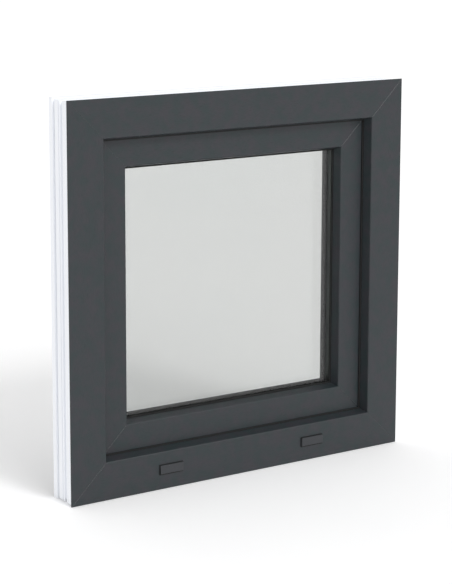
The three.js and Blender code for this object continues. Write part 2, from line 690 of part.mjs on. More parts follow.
function topRail() {
  return box([alongHead(TOP_RAIL_X[1]), alongHead(TOP_RAIL_X[0])], RAIL_Y, [RAIL_H, RAIL_H + RAIL]);
}

const CAM_REACH = HARDWARE_GAP - FIT - KEEP_THICKNESS - KEEP_LIP - CAM_OVER_KEEP;

// A cam is a round stem and roller, standing out of the sash's edge on its rail.
function cam(along) {
  const tip = SASH_EDGE - CAM_REACH;
  const stem = rodZ(CAM_STEM, along, GROOVE_Y, [tip + 1, RAIL_H - FIT]);
  const roller = rodZ(CAM, along, GROOVE_Y, [tip, SASH_EDGE - FIT]);
  return join(stem, roller);
}

const PLATE_ACROSS = [MOUTH[0] + FIT, MOUTH[1] - FIT];

// Faceplates close the groove's mouth and have a slot for each cam's stem.
function faceplate([start, end], cams, travelSign) {
  const outside = SASH_EDGE + FACEPLATE_SINK;
  const strip = box([start, end], PLATE_ACROSS, [outside, outside + FACEPLATE]);
  const slots = cams.map((along) => {
    const run = [along, along + travelSign * TRAVEL].sort((a, b) => a - b);
    const clear = CAM_STEM + STEM_PLAY;
    return box(
      [run[0] - clear, run[1] + clear],
      [GROOVE_Y - clear, GROOVE_Y + clear],
      [SASH_EDGE - 1, SASH_EDGE + 5],
    );
  });
  return cut(strip, ...slots);
}

const CAM_Z = [SASH_EDGE + CAM_FROM_CORNER + TRAVEL, SASH_TOP - CAM_FROM_CORNER];
const CAM_ALONG_HANDLE = CAM_Z.map(alongHandle);
const CAM_ALONG_HEAD = alongHead(SASH_EDGE + TOP_CAM_FROM_CORNER - WIDTH / 2);
const SIDE_PLATE_ENDS = [
  alongHandle(SASH_TOP - CORNER_LEG - FACEPLATE_JOINT),
  alongHandle(RAIL_END - 6),
];
const TOP_PLATE_ENDS = [
  alongHead(ARM_PIN_X - GUIDE_FROM_PIN - FACEPLATE_JOINT),
  alongHead(SASH_EDGE + CORNER_LEG + FACEPLATE_JOINT - WIDTH / 2),
];

// The corner drive carries the pull of the side rail round the corner to the top rail.
function cornerDrive() {
  const corner = [SASH_EDGE - WIDTH / 2 + FACEPLATE_SINK, SASH_TOP - FACEPLATE_SINK];
  const side = box([corner[0], corner[0] + FACEPLATE], PLATE_ACROSS, [corner[1] - CORNER_LEG, corner[1]]);
  const top = box([corner[0], corner[0] + CORNER_LEG], PLATE_ACROSS, [corner[1] - FACEPLATE, corner[1]]);
  return join(side, top);
}

// A keep is a plate on the frame's rebate floor with a low lip on the room side of the cam.
function keep(along, travelSign) {
  const middle = along + (travelSign * TRAVEL) / 2;
  const ends = [middle - KEEP_LENGTH / 2, middle + KEEP_LENGTH / 2];
  const low = FRAME_REBATE + FIT;
  const y0 = GROOVE_Y - KEEP_WIDTH / 2;
  const y1 = GROOVE_Y + KEEP_WIDTH / 2;
  const base = box(ends, [y0, y1], [low, low + KEEP_THICKNESS]);
  const lip = box(ends, [y1 - 2.5, y1], [low + 1, low + KEEP_THICKNESS + KEEP_LIP]);
  return join(base, lip);
}

add('gearbox_case', gearboxCase(), ZINC, 'handle');
add('pinion', pinion(), STEEL_GREY);
add('lock_rail', lockRail(), ZINC, 'handle');
add('top_rail', topRail(), ZINC, 'head');
add('side_faceplate', faceplate(SIDE_PLATE_ENDS, CAM_ALONG_HANDLE, 1), ZINC, 'handle');
add('top_faceplate', faceplate(TOP_PLATE_ENDS, [CAM_ALONG_HEAD], 1), ZINC, 'head');
add('corner_drive', cornerDrive(), ZINC);
add('cam_lower', cam(CAM_ALONG_HANDLE[0]), ZINC, 'handle');
add('cam_upper', cam(CAM_ALONG_HANDLE[1]), ZINC, 'handle');
add('cam_top', cam(CAM_ALONG_HEAD), ZINC, 'head');
add('keep_lower', keep(CAM_ALONG_HANDLE[0], 1), ZINC, 'handle');
add('keep_upper', keep(CAM_ALONG_HANDLE[1], 1), ZINC, 'handle');
add('keep_top', keep(CAM_ALONG_HEAD, 1), ZINC, 'head');

// ---- handle --------------------------------------------------------------------------------
const CAP_FRONT = SASH_BACK + CAP_DEPTH;
const ROSETTE_SIZE = [ROSETTE_WIDTH, SCREW_SPACING + 2 * ROSETTE_END];

function atHandle(geometry) {
  return geometry.translate(HANDLE_X, 0, HANDLE_Z);
}

function rosette() {
  const base = plate(stadium(...ROSETTE_SIZE), [SASH_BACK + FIT, SASH_BACK + ROSETTE_THICKNESS]);
  const depth = [SASH_BACK - 1, SASH_BACK + 20];
  const holes = SCREW_PLACES.map((offset) => rodY(SCREW + PIN_PLAY, 0, depth, offset));
  return atHandle(cut(base, rodY(NECK + PIN_PLAY, 0, depth, 0), ...holes));
}

function rosetteCap() {
  const outer = ROSETTE_SIZE.map((size) => size + 2 * (CAP_WALL + FIT));
  const inner = ROSETTE_SIZE.map((size) => size + 2 * FIT);
  const shell = plate(stadium(...outer), [SASH_BACK + FIT, CAP_FRONT]);
  const hollow = plate(stadium(...inner), [SASH_BACK - 1, CAP_FRONT - CAP_WALL]);
  const mouth = rodY(NECK + PIN_PLAY, 0, [SASH_BACK, CAP_FRONT + 1], 0);
  return atHandle(cut(shell, hollow, mouth));
}

function handleLever() {
  const gripY = SASH_BACK + GRIP_Y;
  const neck = rodY(NECK, 0, [SASH_BACK + 1, gripY], 0, 36);
  const radius = GRIP_WIDTH / 2;
  const grip = new THREE.CapsuleGeometry(radius, GRIP_LENGTH - radius, 6, 20);
  grip.rotateX(Math.PI / 2).scale(1, GRIP_THICKNESS / GRIP_WIDTH, 1);
  grip.translate(0, gripY, radius - (GRIP_LENGTH + radius) / 2);
  const socket = SPINDLE / 2 + FIT;
  const hole = box([-socket, socket], [SASH_BACK, SASH_BACK + 24], [-socket, socket]);
  return atHandle(cut(join(neck, grip), hole));
}

function spindle() {
  const half = SPINDLE / 2;
  return atHandle(box([-half, half], [CASE_Y[0] + 1, SASH_BACK + 23], [-half, half]));
}

function handleScrew(offset) {
  const head = SASH_BACK + ROSETTE_THICKNESS + FIT;
  const shank = rodY(SCREW, 0, [GROOVE_Y - 1, head + 1], offset, 16);
  return atHandle(join(shank, rodY(SCREW_HEAD, 0, [head, head + 2.2], offset, 20)));
}

add('rosette', rosette(), ZINC);
add('rosette_cap', rosetteCap(), HANDLE_PAINT);
add('handle_lever', handleLever(), HANDLE_PAINT);
add('spindle', spindle(), STEEL_GREY);
add('handle_screw_lower', handleScrew(SCREW_PLACES[0]), ZINC);
add('handle_screw_upper', handleScrew(SCREW_PLACES[1]), ZINC);

// ---- top hinge and stay arm ----------------------------------------------------------------
const KNUCKLE_Z = [FLANGE_TOP + KNUCKLE_TOP - KNUCKLE_HEIGHT, FLANGE_TOP + KNUCKLE_TOP];
const PLATE_Y = [FRAME_DEPTH + FIT, FRAME_DEPTH + FIT + PLATE];
const PLATE_X = [AXIS_X + 1, WIDTH / 2 - PLATE_FROM_SIDE];

function hingeLug(heights) {
  const web = box([AXIS_X, PLATE_X[1] - 3], [PLATE_Y[0] + 1, AXIS_Y + 4], heights);
  return join(web, rodZ(BARREL, AXIS_X, AXIS_Y, heights));
}

const LOWER_LUG = [KNUCKLE_Z[0] - LUG_HEIGHT - FIT, KNUCKLE_Z[0] - FIT];
const UPPER_LUG = [KNUCKLE_Z[1] + FIT, KNUCKLE_Z[1] + FIT + LUG_HEIGHT];

function topBearing() {
  const back = box(PLATE_X, PLATE_Y, [LOWER_LUG[0], UPPER_LUG[1] + 1.5]);
  const hole = rodZ(HINGE_PIN + PIN_PLAY, AXIS_X, AXIS_Y, [0, HEIGHT]);
  // The web of each lug starts beside the axis, clear of the arm's cranked end.
  const webSide = [AXIS_X - BARREL - 1, AXIS_X + 0.8];
  const clearance = box(webSide, [FRAME_DEPTH, AXIS_Y - BARREL + 0.5], [0, HEIGHT]);
  return cut(join(back, hingeLug(LOWER_LUG), hingeLug(UPPER_LUG)), hole, clearance);
}

const PIN_HEAD_TOP = UPPER_LUG[1] + 2.5;

function topHingePin() {
  const head = rodZ(HINGE_PIN + 1.5, AXIS_X, AXIS_Y, [UPPER_LUG[1] + FIT, PIN_HEAD_TOP]);
  return join(rodZ(HINGE_PIN, AXIS_X, AXIS_Y, [LOWER_LUG[0], UPPER_LUG[1] + 1]), head);
}

// The arm runs over the sash's edge, cranks out between frame and flange, and ends in a knuckle.
function stayArm() {
  const strapY = [FRAME_DEPTH + ARM_STRAP_GAP, FRAME_DEPTH + ARM_STRAP_GAP + ARM_THICKNESS];
  const height = [ARM_Z, ARM_Z + ARM_THICKNESS];
  const crankX = AXIS_X - ARM_CRANK;
  const across = [GROOVE_Y - ARM_WIDTH / 2, GROOVE_Y + ARM_WIDTH / 2];
  const strip = box([ARM_PIN_X - ARM_END, crankX + ARM_BEND], across, height);
  const bend = box([crankX, crankX + ARM_BEND], [GROOVE_Y, strapY[1]], height);
  const strap = box([crankX, AXIS_X], strapY, [ARM_Z, KNUCKLE_Z[1]]);
  const web = box([AXIS_X - BARREL, AXIS_X], [strapY[0] + 1, AXIS_Y], KNUCKLE_Z);
  const knuckle = rodZ(BARREL, AXIS_X, AXIS_Y, KNUCKLE_Z);
  const pin = rodZ(ARM_PIN, ARM_PIN_X, GROOVE_Y, [ARM_Z - ARM_PIN_DROP, ARM_Z + 1]);
  const hole = rodZ(HINGE_PIN + PIN_PLAY, AXIS_X, AXIS_Y, [0, HEIGHT]);
  return cut(join(strip, bend, strap, web, knuckle, pin), hole);
}

// The guide is a faceplate on the sash with a slot in which the arm's pin slides.
function stayGuide() {
  const start = ARM_PIN_X - GUIDE_FROM_PIN;
  const top = SASH_TOP - FACEPLATE_SINK;
  const strip = box([start, start + GUIDE_LENGTH], PLATE_ACROSS, [top - FACEPLATE, top]);
  const side = ARM_PIN + ARM_PIN_PLAY;
  const slot = box(
    [ARM_PIN_X - side, ARM_PIN_X + ARM_PIN_TRAVEL + side],
    [GROOVE_Y - side, GROOVE_Y + side],
    [top - 5, top + 5],
  );
  return cut(strip, slot);
}

// ---- bottom hinge --------------------------------------------------------------------------
const PIVOT_LOW = TILT_Z - PIVOT_HEAD_DROP;
const PIVOT_Z = [PIVOT_LOW, PIVOT_LOW + PIVOT_HEAD];
const SOCKET_Z = [PIVOT_LOW - FIT - SOCKET_DEPTH, PIVOT_LOW - FIT];
const BOTTOM_COVER_Z = [1, FLANGE_EDGE - 0.9];
const TOP_COVER_Z = [FLANGE_TOP + 0.6, PIN_HEAD_TOP + FIT + COVER_WALL];
const EAR = 5.5; // radius of the ear under the flange
const EAR_WIDTH = 12;
const EAR_FROM_HEAD = 2.5;
const EAR_END = AXIS_X - BARREL - EAR_FROM_HEAD;
const EAR_X = [EAR_END - EAR_WIDTH, EAR_END];
const BAND_LEG = 90; // legs of the corner band
const BAND_WIDTH = 14;
const BAND_IN = 2; // band in from the edge of the flange

function bottomBearing() {
  const back = box(PLATE_X, PLATE_Y, [BOTTOM_COVER_Z[0] + 2, BOTTOM_COVER_Z[1] - 2]);
  const hole = rodZ(HINGE_PIN + PIN_PLAY, AXIS_X, AXIS_Y, [SOCKET_Z[0] + 2, HEIGHT]);
  return cut(join(back, hingeLug(SOCKET_Z)), hole);
}

function bottomPivot() {
  const stem = rodZ(HINGE_PIN, AXIS_X, AXIS_Y, [SOCKET_Z[0] + 2.5, PIVOT_Z[0] + 1]);
  const head = rodZ(BARREL, AXIS_X, AXIS_Y, PIVOT_Z);
  const pin = rodX(TILT_PIN, [EAR_X[0] - 3, AXIS_X], AXIS_Y, TILT_Z);
  return join(stem, head, pin);
}

// The band holds the sash's lower corner on the tilt pin by an ear under the flange.
function cornerBand() {
  const face = [SASH_BACK + FIT, SASH_BACK + FIT + PLATE - 0.5];
  const edge = WIDTH / 2 - FLANGE_EDGE - 0.5;
  const low = FLANGE_EDGE + BAND_IN;
  const across = box([edge - BAND_LEG, edge], face, [low, low + BAND_WIDTH]);
  const up = box([edge - BAND_WIDTH, edge], face, [low, low + BAND_LEG]);
  const drop = box(EAR_X, face, [TILT_Z, low + BAND_IN]);
  const foot = box(EAR_X, [AXIS_Y, face[1]], [TILT_Z - EAR, TILT_Z + EAR - 0.2]);
  const ear = rodX(EAR, EAR_X, AXIS_Y, TILT_Z);
  const hole = rodX(TILT_PIN + PIN_PLAY, [EAR_X[0] - 1, EAR_X[1] + 1], AXIS_Y, TILT_Z);
  return cut(join(across, up, drop, foot, ear), hole);
}

// Plastic covers over the frame-side halves of the hinges, open toward the axis and the frame.
function hingeCover([z0, z1], start) {
  const side = PLATE_X[1] + FIT;
  const front = AXIS_Y + BARREL + COVER_PLAY + COVER_WALL;
  const outer = box([start, side + COVER_WALL], [FRAME_DEPTH + FIT, front], [z0, z1]);
  const hollow = [z0 + COVER_WALL, z1 - COVER_WALL];
  const inner = box([start - 1, side], [FRAME_DEPTH - 1, front - COVER_WALL], hollow);
  return cut(outer, inner);
}

add('top_bearing', topBearing(), ZINC);
add('top_hinge_pin', topHingePin(), STEEL_GREY);
add('stay_arm', stayArm(), ZINC);
add('stay_guide', stayGuide(), ZINC);
add('bottom_bearing', bottomBearing(), ZINC);
add('bottom_pivot', bottomPivot(), STEEL_GREY);
add('corner_band', cornerBand(), ZINC);
add('top_hinge_cover', hingeCover(TOP_COVER_Z, AXIS_X + 2.5), DARK_PLASTIC);
add('bottom_hinge_cover', hingeCover(BOTTOM_COVER_Z, AXIS_X + BARREL + 0.5), DARK_PLASTIC);

unit.position.y = FOOT / 2 - FRAME_DEPTH;
const windowUnit = new THREE.Group();
windowUnit.add(unit);

export default windowUnit;
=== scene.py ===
# %% [markdown]
# # A small tilt-and-turn window
# The object is a square plastic window: a fixed outer frame with mitred corners, a glazed sash that
# opens into the room, a lever handle, locking gear and hinges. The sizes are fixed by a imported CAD
# model, so the first cell loads that model and every later piece takes its place from it.
# The outside of the window looks toward -Y, the room is at +Y, and the hinges are at +X.

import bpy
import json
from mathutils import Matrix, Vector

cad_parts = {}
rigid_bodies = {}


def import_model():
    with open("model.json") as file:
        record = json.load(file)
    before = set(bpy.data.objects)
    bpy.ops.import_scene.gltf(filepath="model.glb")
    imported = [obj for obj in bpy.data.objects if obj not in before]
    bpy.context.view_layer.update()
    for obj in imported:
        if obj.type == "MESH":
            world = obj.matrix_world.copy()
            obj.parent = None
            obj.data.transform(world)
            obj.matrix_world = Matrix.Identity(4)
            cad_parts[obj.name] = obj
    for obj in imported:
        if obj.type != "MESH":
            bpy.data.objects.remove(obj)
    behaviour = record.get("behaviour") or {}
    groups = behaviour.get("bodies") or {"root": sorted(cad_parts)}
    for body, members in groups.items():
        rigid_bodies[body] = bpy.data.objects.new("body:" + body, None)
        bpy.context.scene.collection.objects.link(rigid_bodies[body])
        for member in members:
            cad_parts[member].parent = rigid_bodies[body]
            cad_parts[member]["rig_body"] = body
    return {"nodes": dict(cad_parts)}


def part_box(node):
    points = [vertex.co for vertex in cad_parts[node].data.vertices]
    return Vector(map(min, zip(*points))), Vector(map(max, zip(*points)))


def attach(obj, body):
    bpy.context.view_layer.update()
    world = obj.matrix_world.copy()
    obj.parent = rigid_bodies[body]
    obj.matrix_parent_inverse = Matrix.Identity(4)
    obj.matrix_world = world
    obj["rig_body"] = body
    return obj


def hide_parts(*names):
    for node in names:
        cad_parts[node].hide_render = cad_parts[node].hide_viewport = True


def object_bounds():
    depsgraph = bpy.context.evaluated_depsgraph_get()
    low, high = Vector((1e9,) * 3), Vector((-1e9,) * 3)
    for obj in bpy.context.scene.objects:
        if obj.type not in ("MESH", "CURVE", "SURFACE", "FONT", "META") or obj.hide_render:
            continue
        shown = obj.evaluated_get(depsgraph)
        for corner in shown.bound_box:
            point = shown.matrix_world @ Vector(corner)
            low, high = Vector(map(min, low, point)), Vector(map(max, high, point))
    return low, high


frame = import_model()
cad_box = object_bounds()
print("CAD box", [round(v, 4) for corner in cad_box for v in corner])

# %% Other modules
import json
import math

import bmesh
import bpy
from mathutils import Matrix, Vector

MM = 0.001

# %% [markdown]
# ## Camera, light and floor
# The window is looked at from outside, from its handle side and a little above. A small part of the
# framing is done with the lens shift, as on a view camera, so that the upright edges stay nearly
# parallel. More shift would straighten them fully, but every other view keeps the shift too, and
# the window would slide out of it.

# %% Camera
CAMERA_PLACE = (-1.4152, -2.2130, 0.8751)
CAMERA_TURN = 31.70  # degrees to the right of straight ahead
CAMERA_DIP = 8.94  # degrees below the horizon
CAMERA_LENS = 106.36  # millimetres, over a sensor 36 wide
CAMERA_SENSOR = 36
CAMERA_NEAREST = 0.05
CAMERA_SHIFT = (0.0466, -0.2)

scene = bpy.context.scene
camera_data = bpy.data.cameras.new("camera")
camera_data.lens = CAMERA_LENS
camera_data.sensor_width = CAMERA_SENSOR
camera_data.shift_x, camera_data.shift_y = CAMERA_SHIFT
camera_data.clip_start = CAMERA_NEAREST
camera = bpy.data.objects.new("camera", camera_data)
camera.location = CAMERA_PLACE
camera.rotation_euler = (math.radians(90 - CAMERA_DIP), 0, math.radians(-CAMERA_TURN))
scene.collection.objects.link(camera)
scene.camera = camera
scene.view_settings.view_transform = "Standard"
print("camera at", CAMERA_PLACE)

# %% [markdown]
# ## A short way to write shaders
# A material is a graph of nodes. Written out, every sum takes a node and two links, so one small
# class wraps an output socket and gives it Python's operators: `1 - mask * 0.5` adds the Math nodes.
# Any other node comes from its one method `node`.

# %% Shader sockets with operators
class Wire:
    """An output socket that sums and products can be written on."""

    def __init__(self, tree, socket=None):
        self.tree = tree
        self.socket = socket

    def node(self, kind, settings=None, inputs=None, output=0):
        """Adds a node: its settings first, then the values or links of its sockets."""
        made = self.tree.nodes.new(kind)
        for name, value in (settings or {}).items():
            if name == "stops":
                self.fill_ramp(made.color_ramp, value)
            else:
                setattr(made, name, value)
        for name, value in (inputs or {}).items():
            if isinstance(value, Wire):
                self.tree.links.new(value.socket, made.inputs[name])
            else:
                made.inputs[name].default_value = value
        return Wire(self.tree, made.outputs[output])

    @staticmethod
    def fill_ramp(ramp, stops):
        """Sets the grey stops of a ramp, each a place and a value."""
        while len(ramp.elements) < len(stops):
            ramp.elements.new(1.0)
        for element, (place, value) in zip(ramp.elements, stops):
            element.position = place
            element.color = (value, value, value, 1)

    def maths(self, operation, first, second):
        """A Math node on two wires or numbers."""
        return self.node("ShaderNodeMath", {"operation": operation}, {0: first, 1: second})

    def __add__(self, other):
        return self.maths("ADD", self, other)

    def __mul__(self, other):
        return self.maths("MULTIPLY", self, other)

    def __sub__(self, other):
        return self.maths("SUBTRACT", self, other)

    def __rsub__(self, other):
        return self.maths("SUBTRACT", other, self)

    __radd__ = __add__
    __rmul__ = __mul__


# %% [markdown]
# Every finish needs the same few things: a colour that is written as on a screen, coordinates in
# metres, cloudy noise, a mix of two colours and a bump. Small functions give each of them a name.

# %% Helpers that the finishes share
WHITE = (1, 1, 1, 1)


def tone(red, green, blue):
    """A colour as screens write it, 0 to 255, made linear for the shader."""
    def linear(value):
        value /= 255
        return value / 12.92 if value <= 0.04045 else ((value + 0.055) / 1.055) ** 2.4
    return (linear(red), linear(green), linear(blue), 1)


def start_finish(name):
    """An empty material and a wire to add nodes with."""
    material = bpy.data.materials.new(name)
    material.use_nodes = True
    material.node_tree.nodes.clear()
    return material, Wire(material.node_tree)


def end_finish(material, wire, sockets):
    """Closes a material with one Principled shader."""
    shader = wire.node("ShaderNodeBsdfPrincipled", {}, sockets)
    output = material.node_tree.nodes.new("ShaderNodeOutputMaterial")
    material.node_tree.links.new(shader.socket, output.inputs["Surface"])
    print("finish", material.name, len(material.node_tree.nodes), "nodes")
    return material


def placed(wire, stretch=(1, 1, 1)):
    """Object coordinates in metres, squeezed or stretched along each axis."""
    place = wire.node("ShaderNodeTexCoord", output="Object")
    return wire.node("ShaderNodeMapping", {}, {"Vector": place, "Scale": stretch})


def noise(wire, place, scale, detail=2.0, roughness=0.5):
    """Cloudy noise from 0 to 1."""
    sockets = {"Vector": place, "Scale": scale, "Detail": detail, "Roughness": roughness}
    return wire.node("ShaderNodeTexNoise", {}, sockets)


def mixed(wire, share, first, second):
    """A colour between two colours."""
    return wire.node("ShaderNodeMix", {"data_type": "RGBA"}, {0: share, 6: first, 7: second}, 2)


def bumped(wire, height, strength, distance):
    """A surface normal that follows a height."""
    sockets = {"Height": height, "Strength": strength, "Distance": distance}
    return wire.node("ShaderNodeBump", {}, sockets)


# %% [markdown]
# The floor is one large, plain, pale plane. It glows very slightly, like a light table, because a
# window that is lit only from above would stand in a grey pool of its own shade.

# %% Floor
FLOOR_HALF = 30.0
FLOOR_MOTTLE = 3.0  # cloudy patches to a metre
FLOOR_ROUGHNESS = 0.9
FLOOR_GLOW = 0.10  # a little light of its own, which thins the shadows
FLOOR_GAP = 0.0005  # below the sill, so that the two faces do not coincide
floor_finish, wire = start_finish("pale_floor")
mottle = noise(wire, placed(wire), FLOOR_MOTTLE)
floor_colour = mixed(wire, mottle, tone(253, 253, 253), tone(250, 250, 251))
floor_sockets = {
    "Base Color": floor_colour,
    "Roughness": FLOOR_ROUGHNESS,
    "Emission Color": WHITE,
    "Emission Strength": FLOOR_GLOW,
}
end_finish(floor_finish, wire, floor_sockets)

bm = bmesh.new()
bmesh.ops.create_grid(bm, x_segments=1, y_segments=1, size=FLOOR_HALF)
bmesh.ops.translate(bm, verts=bm.verts, vec=(0, 0, cad_box[0].z - FLOOR_GAP))
floor_mesh = bpy.data.meshes.new("floor")
bm.to_mesh(floor_mesh)
bm.free()
floor = bpy.data.objects.new("floor", floor_mesh)
floor.data.materials.append(floor_finish)
scene.collection.objects.link(floor)

# %% [markdown]
# The room is white all round. What the camera sees behind the window is pure white, while the light
# that falls on the window is a little weaker. Two wide suns do the modelling: the key comes from
# high on the hinge side, and the front light is low enough to glint in the welds of two corners.

# %% Light
ROOM_LIGHT = 0.77
KEY_STRENGTH = 1.0
KEY_SPREAD = 14  # degrees across
KEY_HEIGHT = 40  # degrees above the horizon
KEY_SIDE = 12  # degrees toward the hinge side
FRONT_STRENGTH = 0.5
FRONT_SPREAD = 24
FRONT_HEIGHT = 22
FRONT_SIDE = -2

world = bpy.data.worlds.new("white_room")
world.use_nodes = True
world.node_tree.nodes.clear()
wire = Wire(world.node_tree)
seen = wire.node("ShaderNodeLightPath", output="Is Camera Ray")
through = wire.node("ShaderNodeLightPath", output="Is Transmission Ray")
shown = wire.maths("MAXIMUM", seen, through)
strength = shown * (1 - ROOM_LIGHT) + ROOM_LIGHT
background = wire.node("ShaderNodeBackground", {}, {"Color": WHITE, "Strength": strength})
world_output = world.node_tree.nodes.new("ShaderNodeOutputWorld")
world.node_tree.links.new(background.socket, world_output.inputs["Surface"])
scene.world = world


def soft_sun(name, energy, spread, height, side):
    """A wide, even light from far away: degrees above the horizon, and to the hinge side."""
    data = bpy.data.lights.new(name, "SUN")
    data.energy = energy
    data.angle = math.radians(spread)
    light = bpy.data.objects.new(name, data)
    light.rotation_euler = (math.radians(90 - height), 0, math.radians(side))
    scene.collection.objects.link(light)


soft_sun("soft_key", KEY_STRENGTH, KEY_SPREAD, KEY_HEIGHT, KEY_SIDE)
soft_sun("soft_front", FRONT_STRENGTH, FRONT_SPREAD, FRONT_HEIGHT, FRONT_SIDE)
print("key", KEY_STRENGTH, "front", FRONT_STRENGTH, "white room", ROOM_LIGHT)

# %% [markdown]
# ## Finishes
# The visible faces of the plastic profiles carry a thin decorative foil, dark grey, with a fine
# grain that runs along each member. The foil could be an image, but then it would need unwrapping
# at every mitre. Noise that is stretched along one axis makes the same grain without any, so there
# are two foils: one with its grain across, for the sills and heads, and one with it upright.

# %% Decor foil
FOIL_COOL = tone(37, 47, 49)
FOIL_WARM = tone(47, 47, 52)
FOIL_DARK = tone(28, 30, 33)
GRAIN_STRETCH = 0.09  # a smaller number makes the grain longer
FOIL_CLOUDS = 55.0  # patches to a metre
FOIL_FIBRES = 1500.0
FOIL_PEBBLE = 1900.0
FOIL_ROUGHNESS = 0.36
FOIL_BUMP = 0.00025


def foil(name, stretch):
    """Dark grey foil whose grain is long where the stretch is small."""
    material, wire = start_finish(name)
    along = placed(wire, stretch)
    even = placed(wire)
    clouds = noise(wire, even, FOIL_CLOUDS, 4.0, 0.6)
    share = wire.node("ShaderNodeValToRGB", {"stops": [(0.38, 0), (0.62, 1)]}, {"Fac": clouds})
    base = mixed(wire, share, FOIL_COOL, FOIL_WARM)
    fibres = noise(wire, along, FOIL_FIBRES, 3.0, 0.6)
    pores = wire.node("ShaderNodeValToRGB", {"stops": [(0.30, 0.55), (0.48, 0)]}, {"Fac": fibres})
    colour = mixed(wire, pores, base, FOIL_DARK)
    pebble = noise(wire, even, FOIL_PEBBLE, 2.0)
    height = fibres * 0.7 + pebble * 0.5
    sockets = {
        "Base Color": colour,
        "Roughness": clouds * 0.10 + pebble * 0.10 + FOIL_ROUGHNESS,
        "Normal": bumped(wire, height, 0.35, FOIL_BUMP),
        "Specular IOR Level": 0.42,
    }
    return end_finish(material, wire, sockets)


foil_across = foil("decor_foil_across", (GRAIN_STRETCH, 1, 1))
foil_upright = foil("decor_foil_upright", (1, 1, GRAIN_STRETCH))

# %% [markdown]
# The knife that trims a weld cuts through the foil, so fitters run a lacquer pen along the groove.
# The lacquer is darker and glossier than the foil. That is why a weld shows as a fine dark line at
# some corners and as a fine light one where the groove turns toward the light.

# %% Touched-up weld line
LACQUER_STREAKS = 800.0
LACQUER_ROUGHNESS = 0.22


def weld_lacquer_finish():
    """The glossy pen lacquer that colours the trimmed weld."""
    material, wire = start_finish("weld_lacquer")
    streak = noise(wire, placed(wire), LACQUER_STREAKS, 2.0)
    sockets = {
        "Base Color": mixed(wire, streak, FOIL_DARK, FOIL_COOL),
        "Roughness": streak * 0.1 + LACQUER_ROUGHNESS,
        "Specular IOR Level": 0.75,
    }
    return end_finish(material, wire, sockets)


weld_lacquer = weld_lacquer_finish()

# %% [markdown]
# Under the foil the profile is white PVC. It shows on the outer edge and in the rebates, with the
# faint drawn lines that an extrusion die leaves along its length.

# %% White PVC
PVC_WHITE = tone(249, 251, 254)
PVC_SHADE = tone(240, 243, 249)
DIE_STRETCH = 0.01  # a die line runs on for a hundred times its width
DIE_LINES = 900.0
PVC_CLOUDS = 22.0
PVC_ROUGHNESS = 0.28


def white_pvc(name, stretch):
    """White extruded plastic with faint die lines."""
    material, wire = start_finish(name)
    lines = noise(wire, placed(wire, stretch), DIE_LINES, 2.0)
    clouds = noise(wire, placed(wire), PVC_CLOUDS, 2.0)
    colour = mixed(wire, lines * 0.5 + clouds * 0.4, PVC_WHITE, PVC_SHADE)
    sockets = {
        "Base Color": colour,
        "Roughness": lines * 0.15 + PVC_ROUGHNESS,
        "Normal": bumped(wire, lines, 0.25, 0.0001),
    }
    return end_finish(material, wire, sockets)


pvc_across = white_pvc("white_pvc_across", (DIE_STRETCH, 1, 1))
pvc_upright = white_pvc("white_pvc_upright", (1, 1, DIE_STRETCH))

# %% [markdown]
# The gaskets are black rubber, dull and slightly dusty. The two panes of the sealed unit are held
# apart by an aluminium spacer bar with rows of small breathing holes, and a black sealant closes
# the unit round its edge.

# %% Rubber and sealant
DUST = 260.0
RUBBER_PEBBLE = 2600.0


def rubber(name, light, dark, roughness):
    """Dull black rubber with a dusty bloom."""
    material, wire = start_finish(name)
    dust = noise(wire, placed(wire), DUST, 4.0, 0.65)
    pebble = noise(wire, placed(wire), RUBBER_PEBBLE, 1.0)
    sockets = {
        "Base Color": mixed(wire, dust, dark, light),
        "Roughness": dust * 0.2 + roughness,
        "Normal": bumped(wire, pebble, 0.3, 0.0001),
        "Specular IOR Level": 0.3,
    }
    return end_finish(material, wire, sockets)


gasket_rubber = rubber("gasket_rubber", tone(34, 35, 35), tone(18, 18, 18), 0.55)
edge_sealant = rubber("edge_sealant", tone(46, 49, 48), tone(28, 30, 30), 0.7)

# %% [markdown]
# The spacer bar is bent from thin rolled aluminium and filled with drying grains, which breathe
# through rows of tiny holes. Cutting hundreds of holes would cost many faces for something seen
# edge-on through glass, so a regular Voronoi pattern draws them.

# %% Spacer bar
HOLE_PITCH = 0.0026
HOLE_SIZE = 0.0005
SPACER_BRUSH = 700.0
SPACER_METALLIC = 0.75
SPACER_ROUGHNESS = 0.38


def spacer_finish():
    """Aluminium strip with rows of small breathing holes."""
    material, wire = start_finish("spacer_aluminium")
    even = placed(wire)
    dots = wire.node(
        "ShaderNodeTexVoronoi",
        {"feature": "F1", "distance": "EUCLIDEAN"},
        {"Vector": even, "Scale": 1 / HOLE_PITCH, "Randomness": 0.0},
    )
    holes = wire.maths("LESS_THAN", dots, HOLE_SIZE / HOLE_PITCH)
    brush = noise(wire, even, SPACER_BRUSH, 2.0)
    metal = mixed(wire, brush, tone(118, 122, 121), tone(98, 102, 101))
    sockets = {
        "Base Color": mixed(wire, holes, metal, tone(84, 87, 87)),
        "Roughness": brush * 0.15 + SPACER_ROUGHNESS,
        "Metallic": SPACER_METALLIC,
        "Normal": bumped(wire, 1 - holes, 0.4, 0.0003),
    }
    return end_finish(material, wire, sockets)


spacer_aluminium = spacer_finish()

# %% [markdown]
# Float glass is nearly clear, so its look is made of what it mirrors and what it lets through. A
# Principled shader with full transmission does both. The faint waviness of the surface is a very
# small, very wide bump, and the tint is a soft grey as coated panes have.

# %% Glass
GLASS_REFRACTION = 1.5
GLASS_WAVES = 6.0
GLASS_FILM = 3.0
WAVE_BUMP = 0.0004


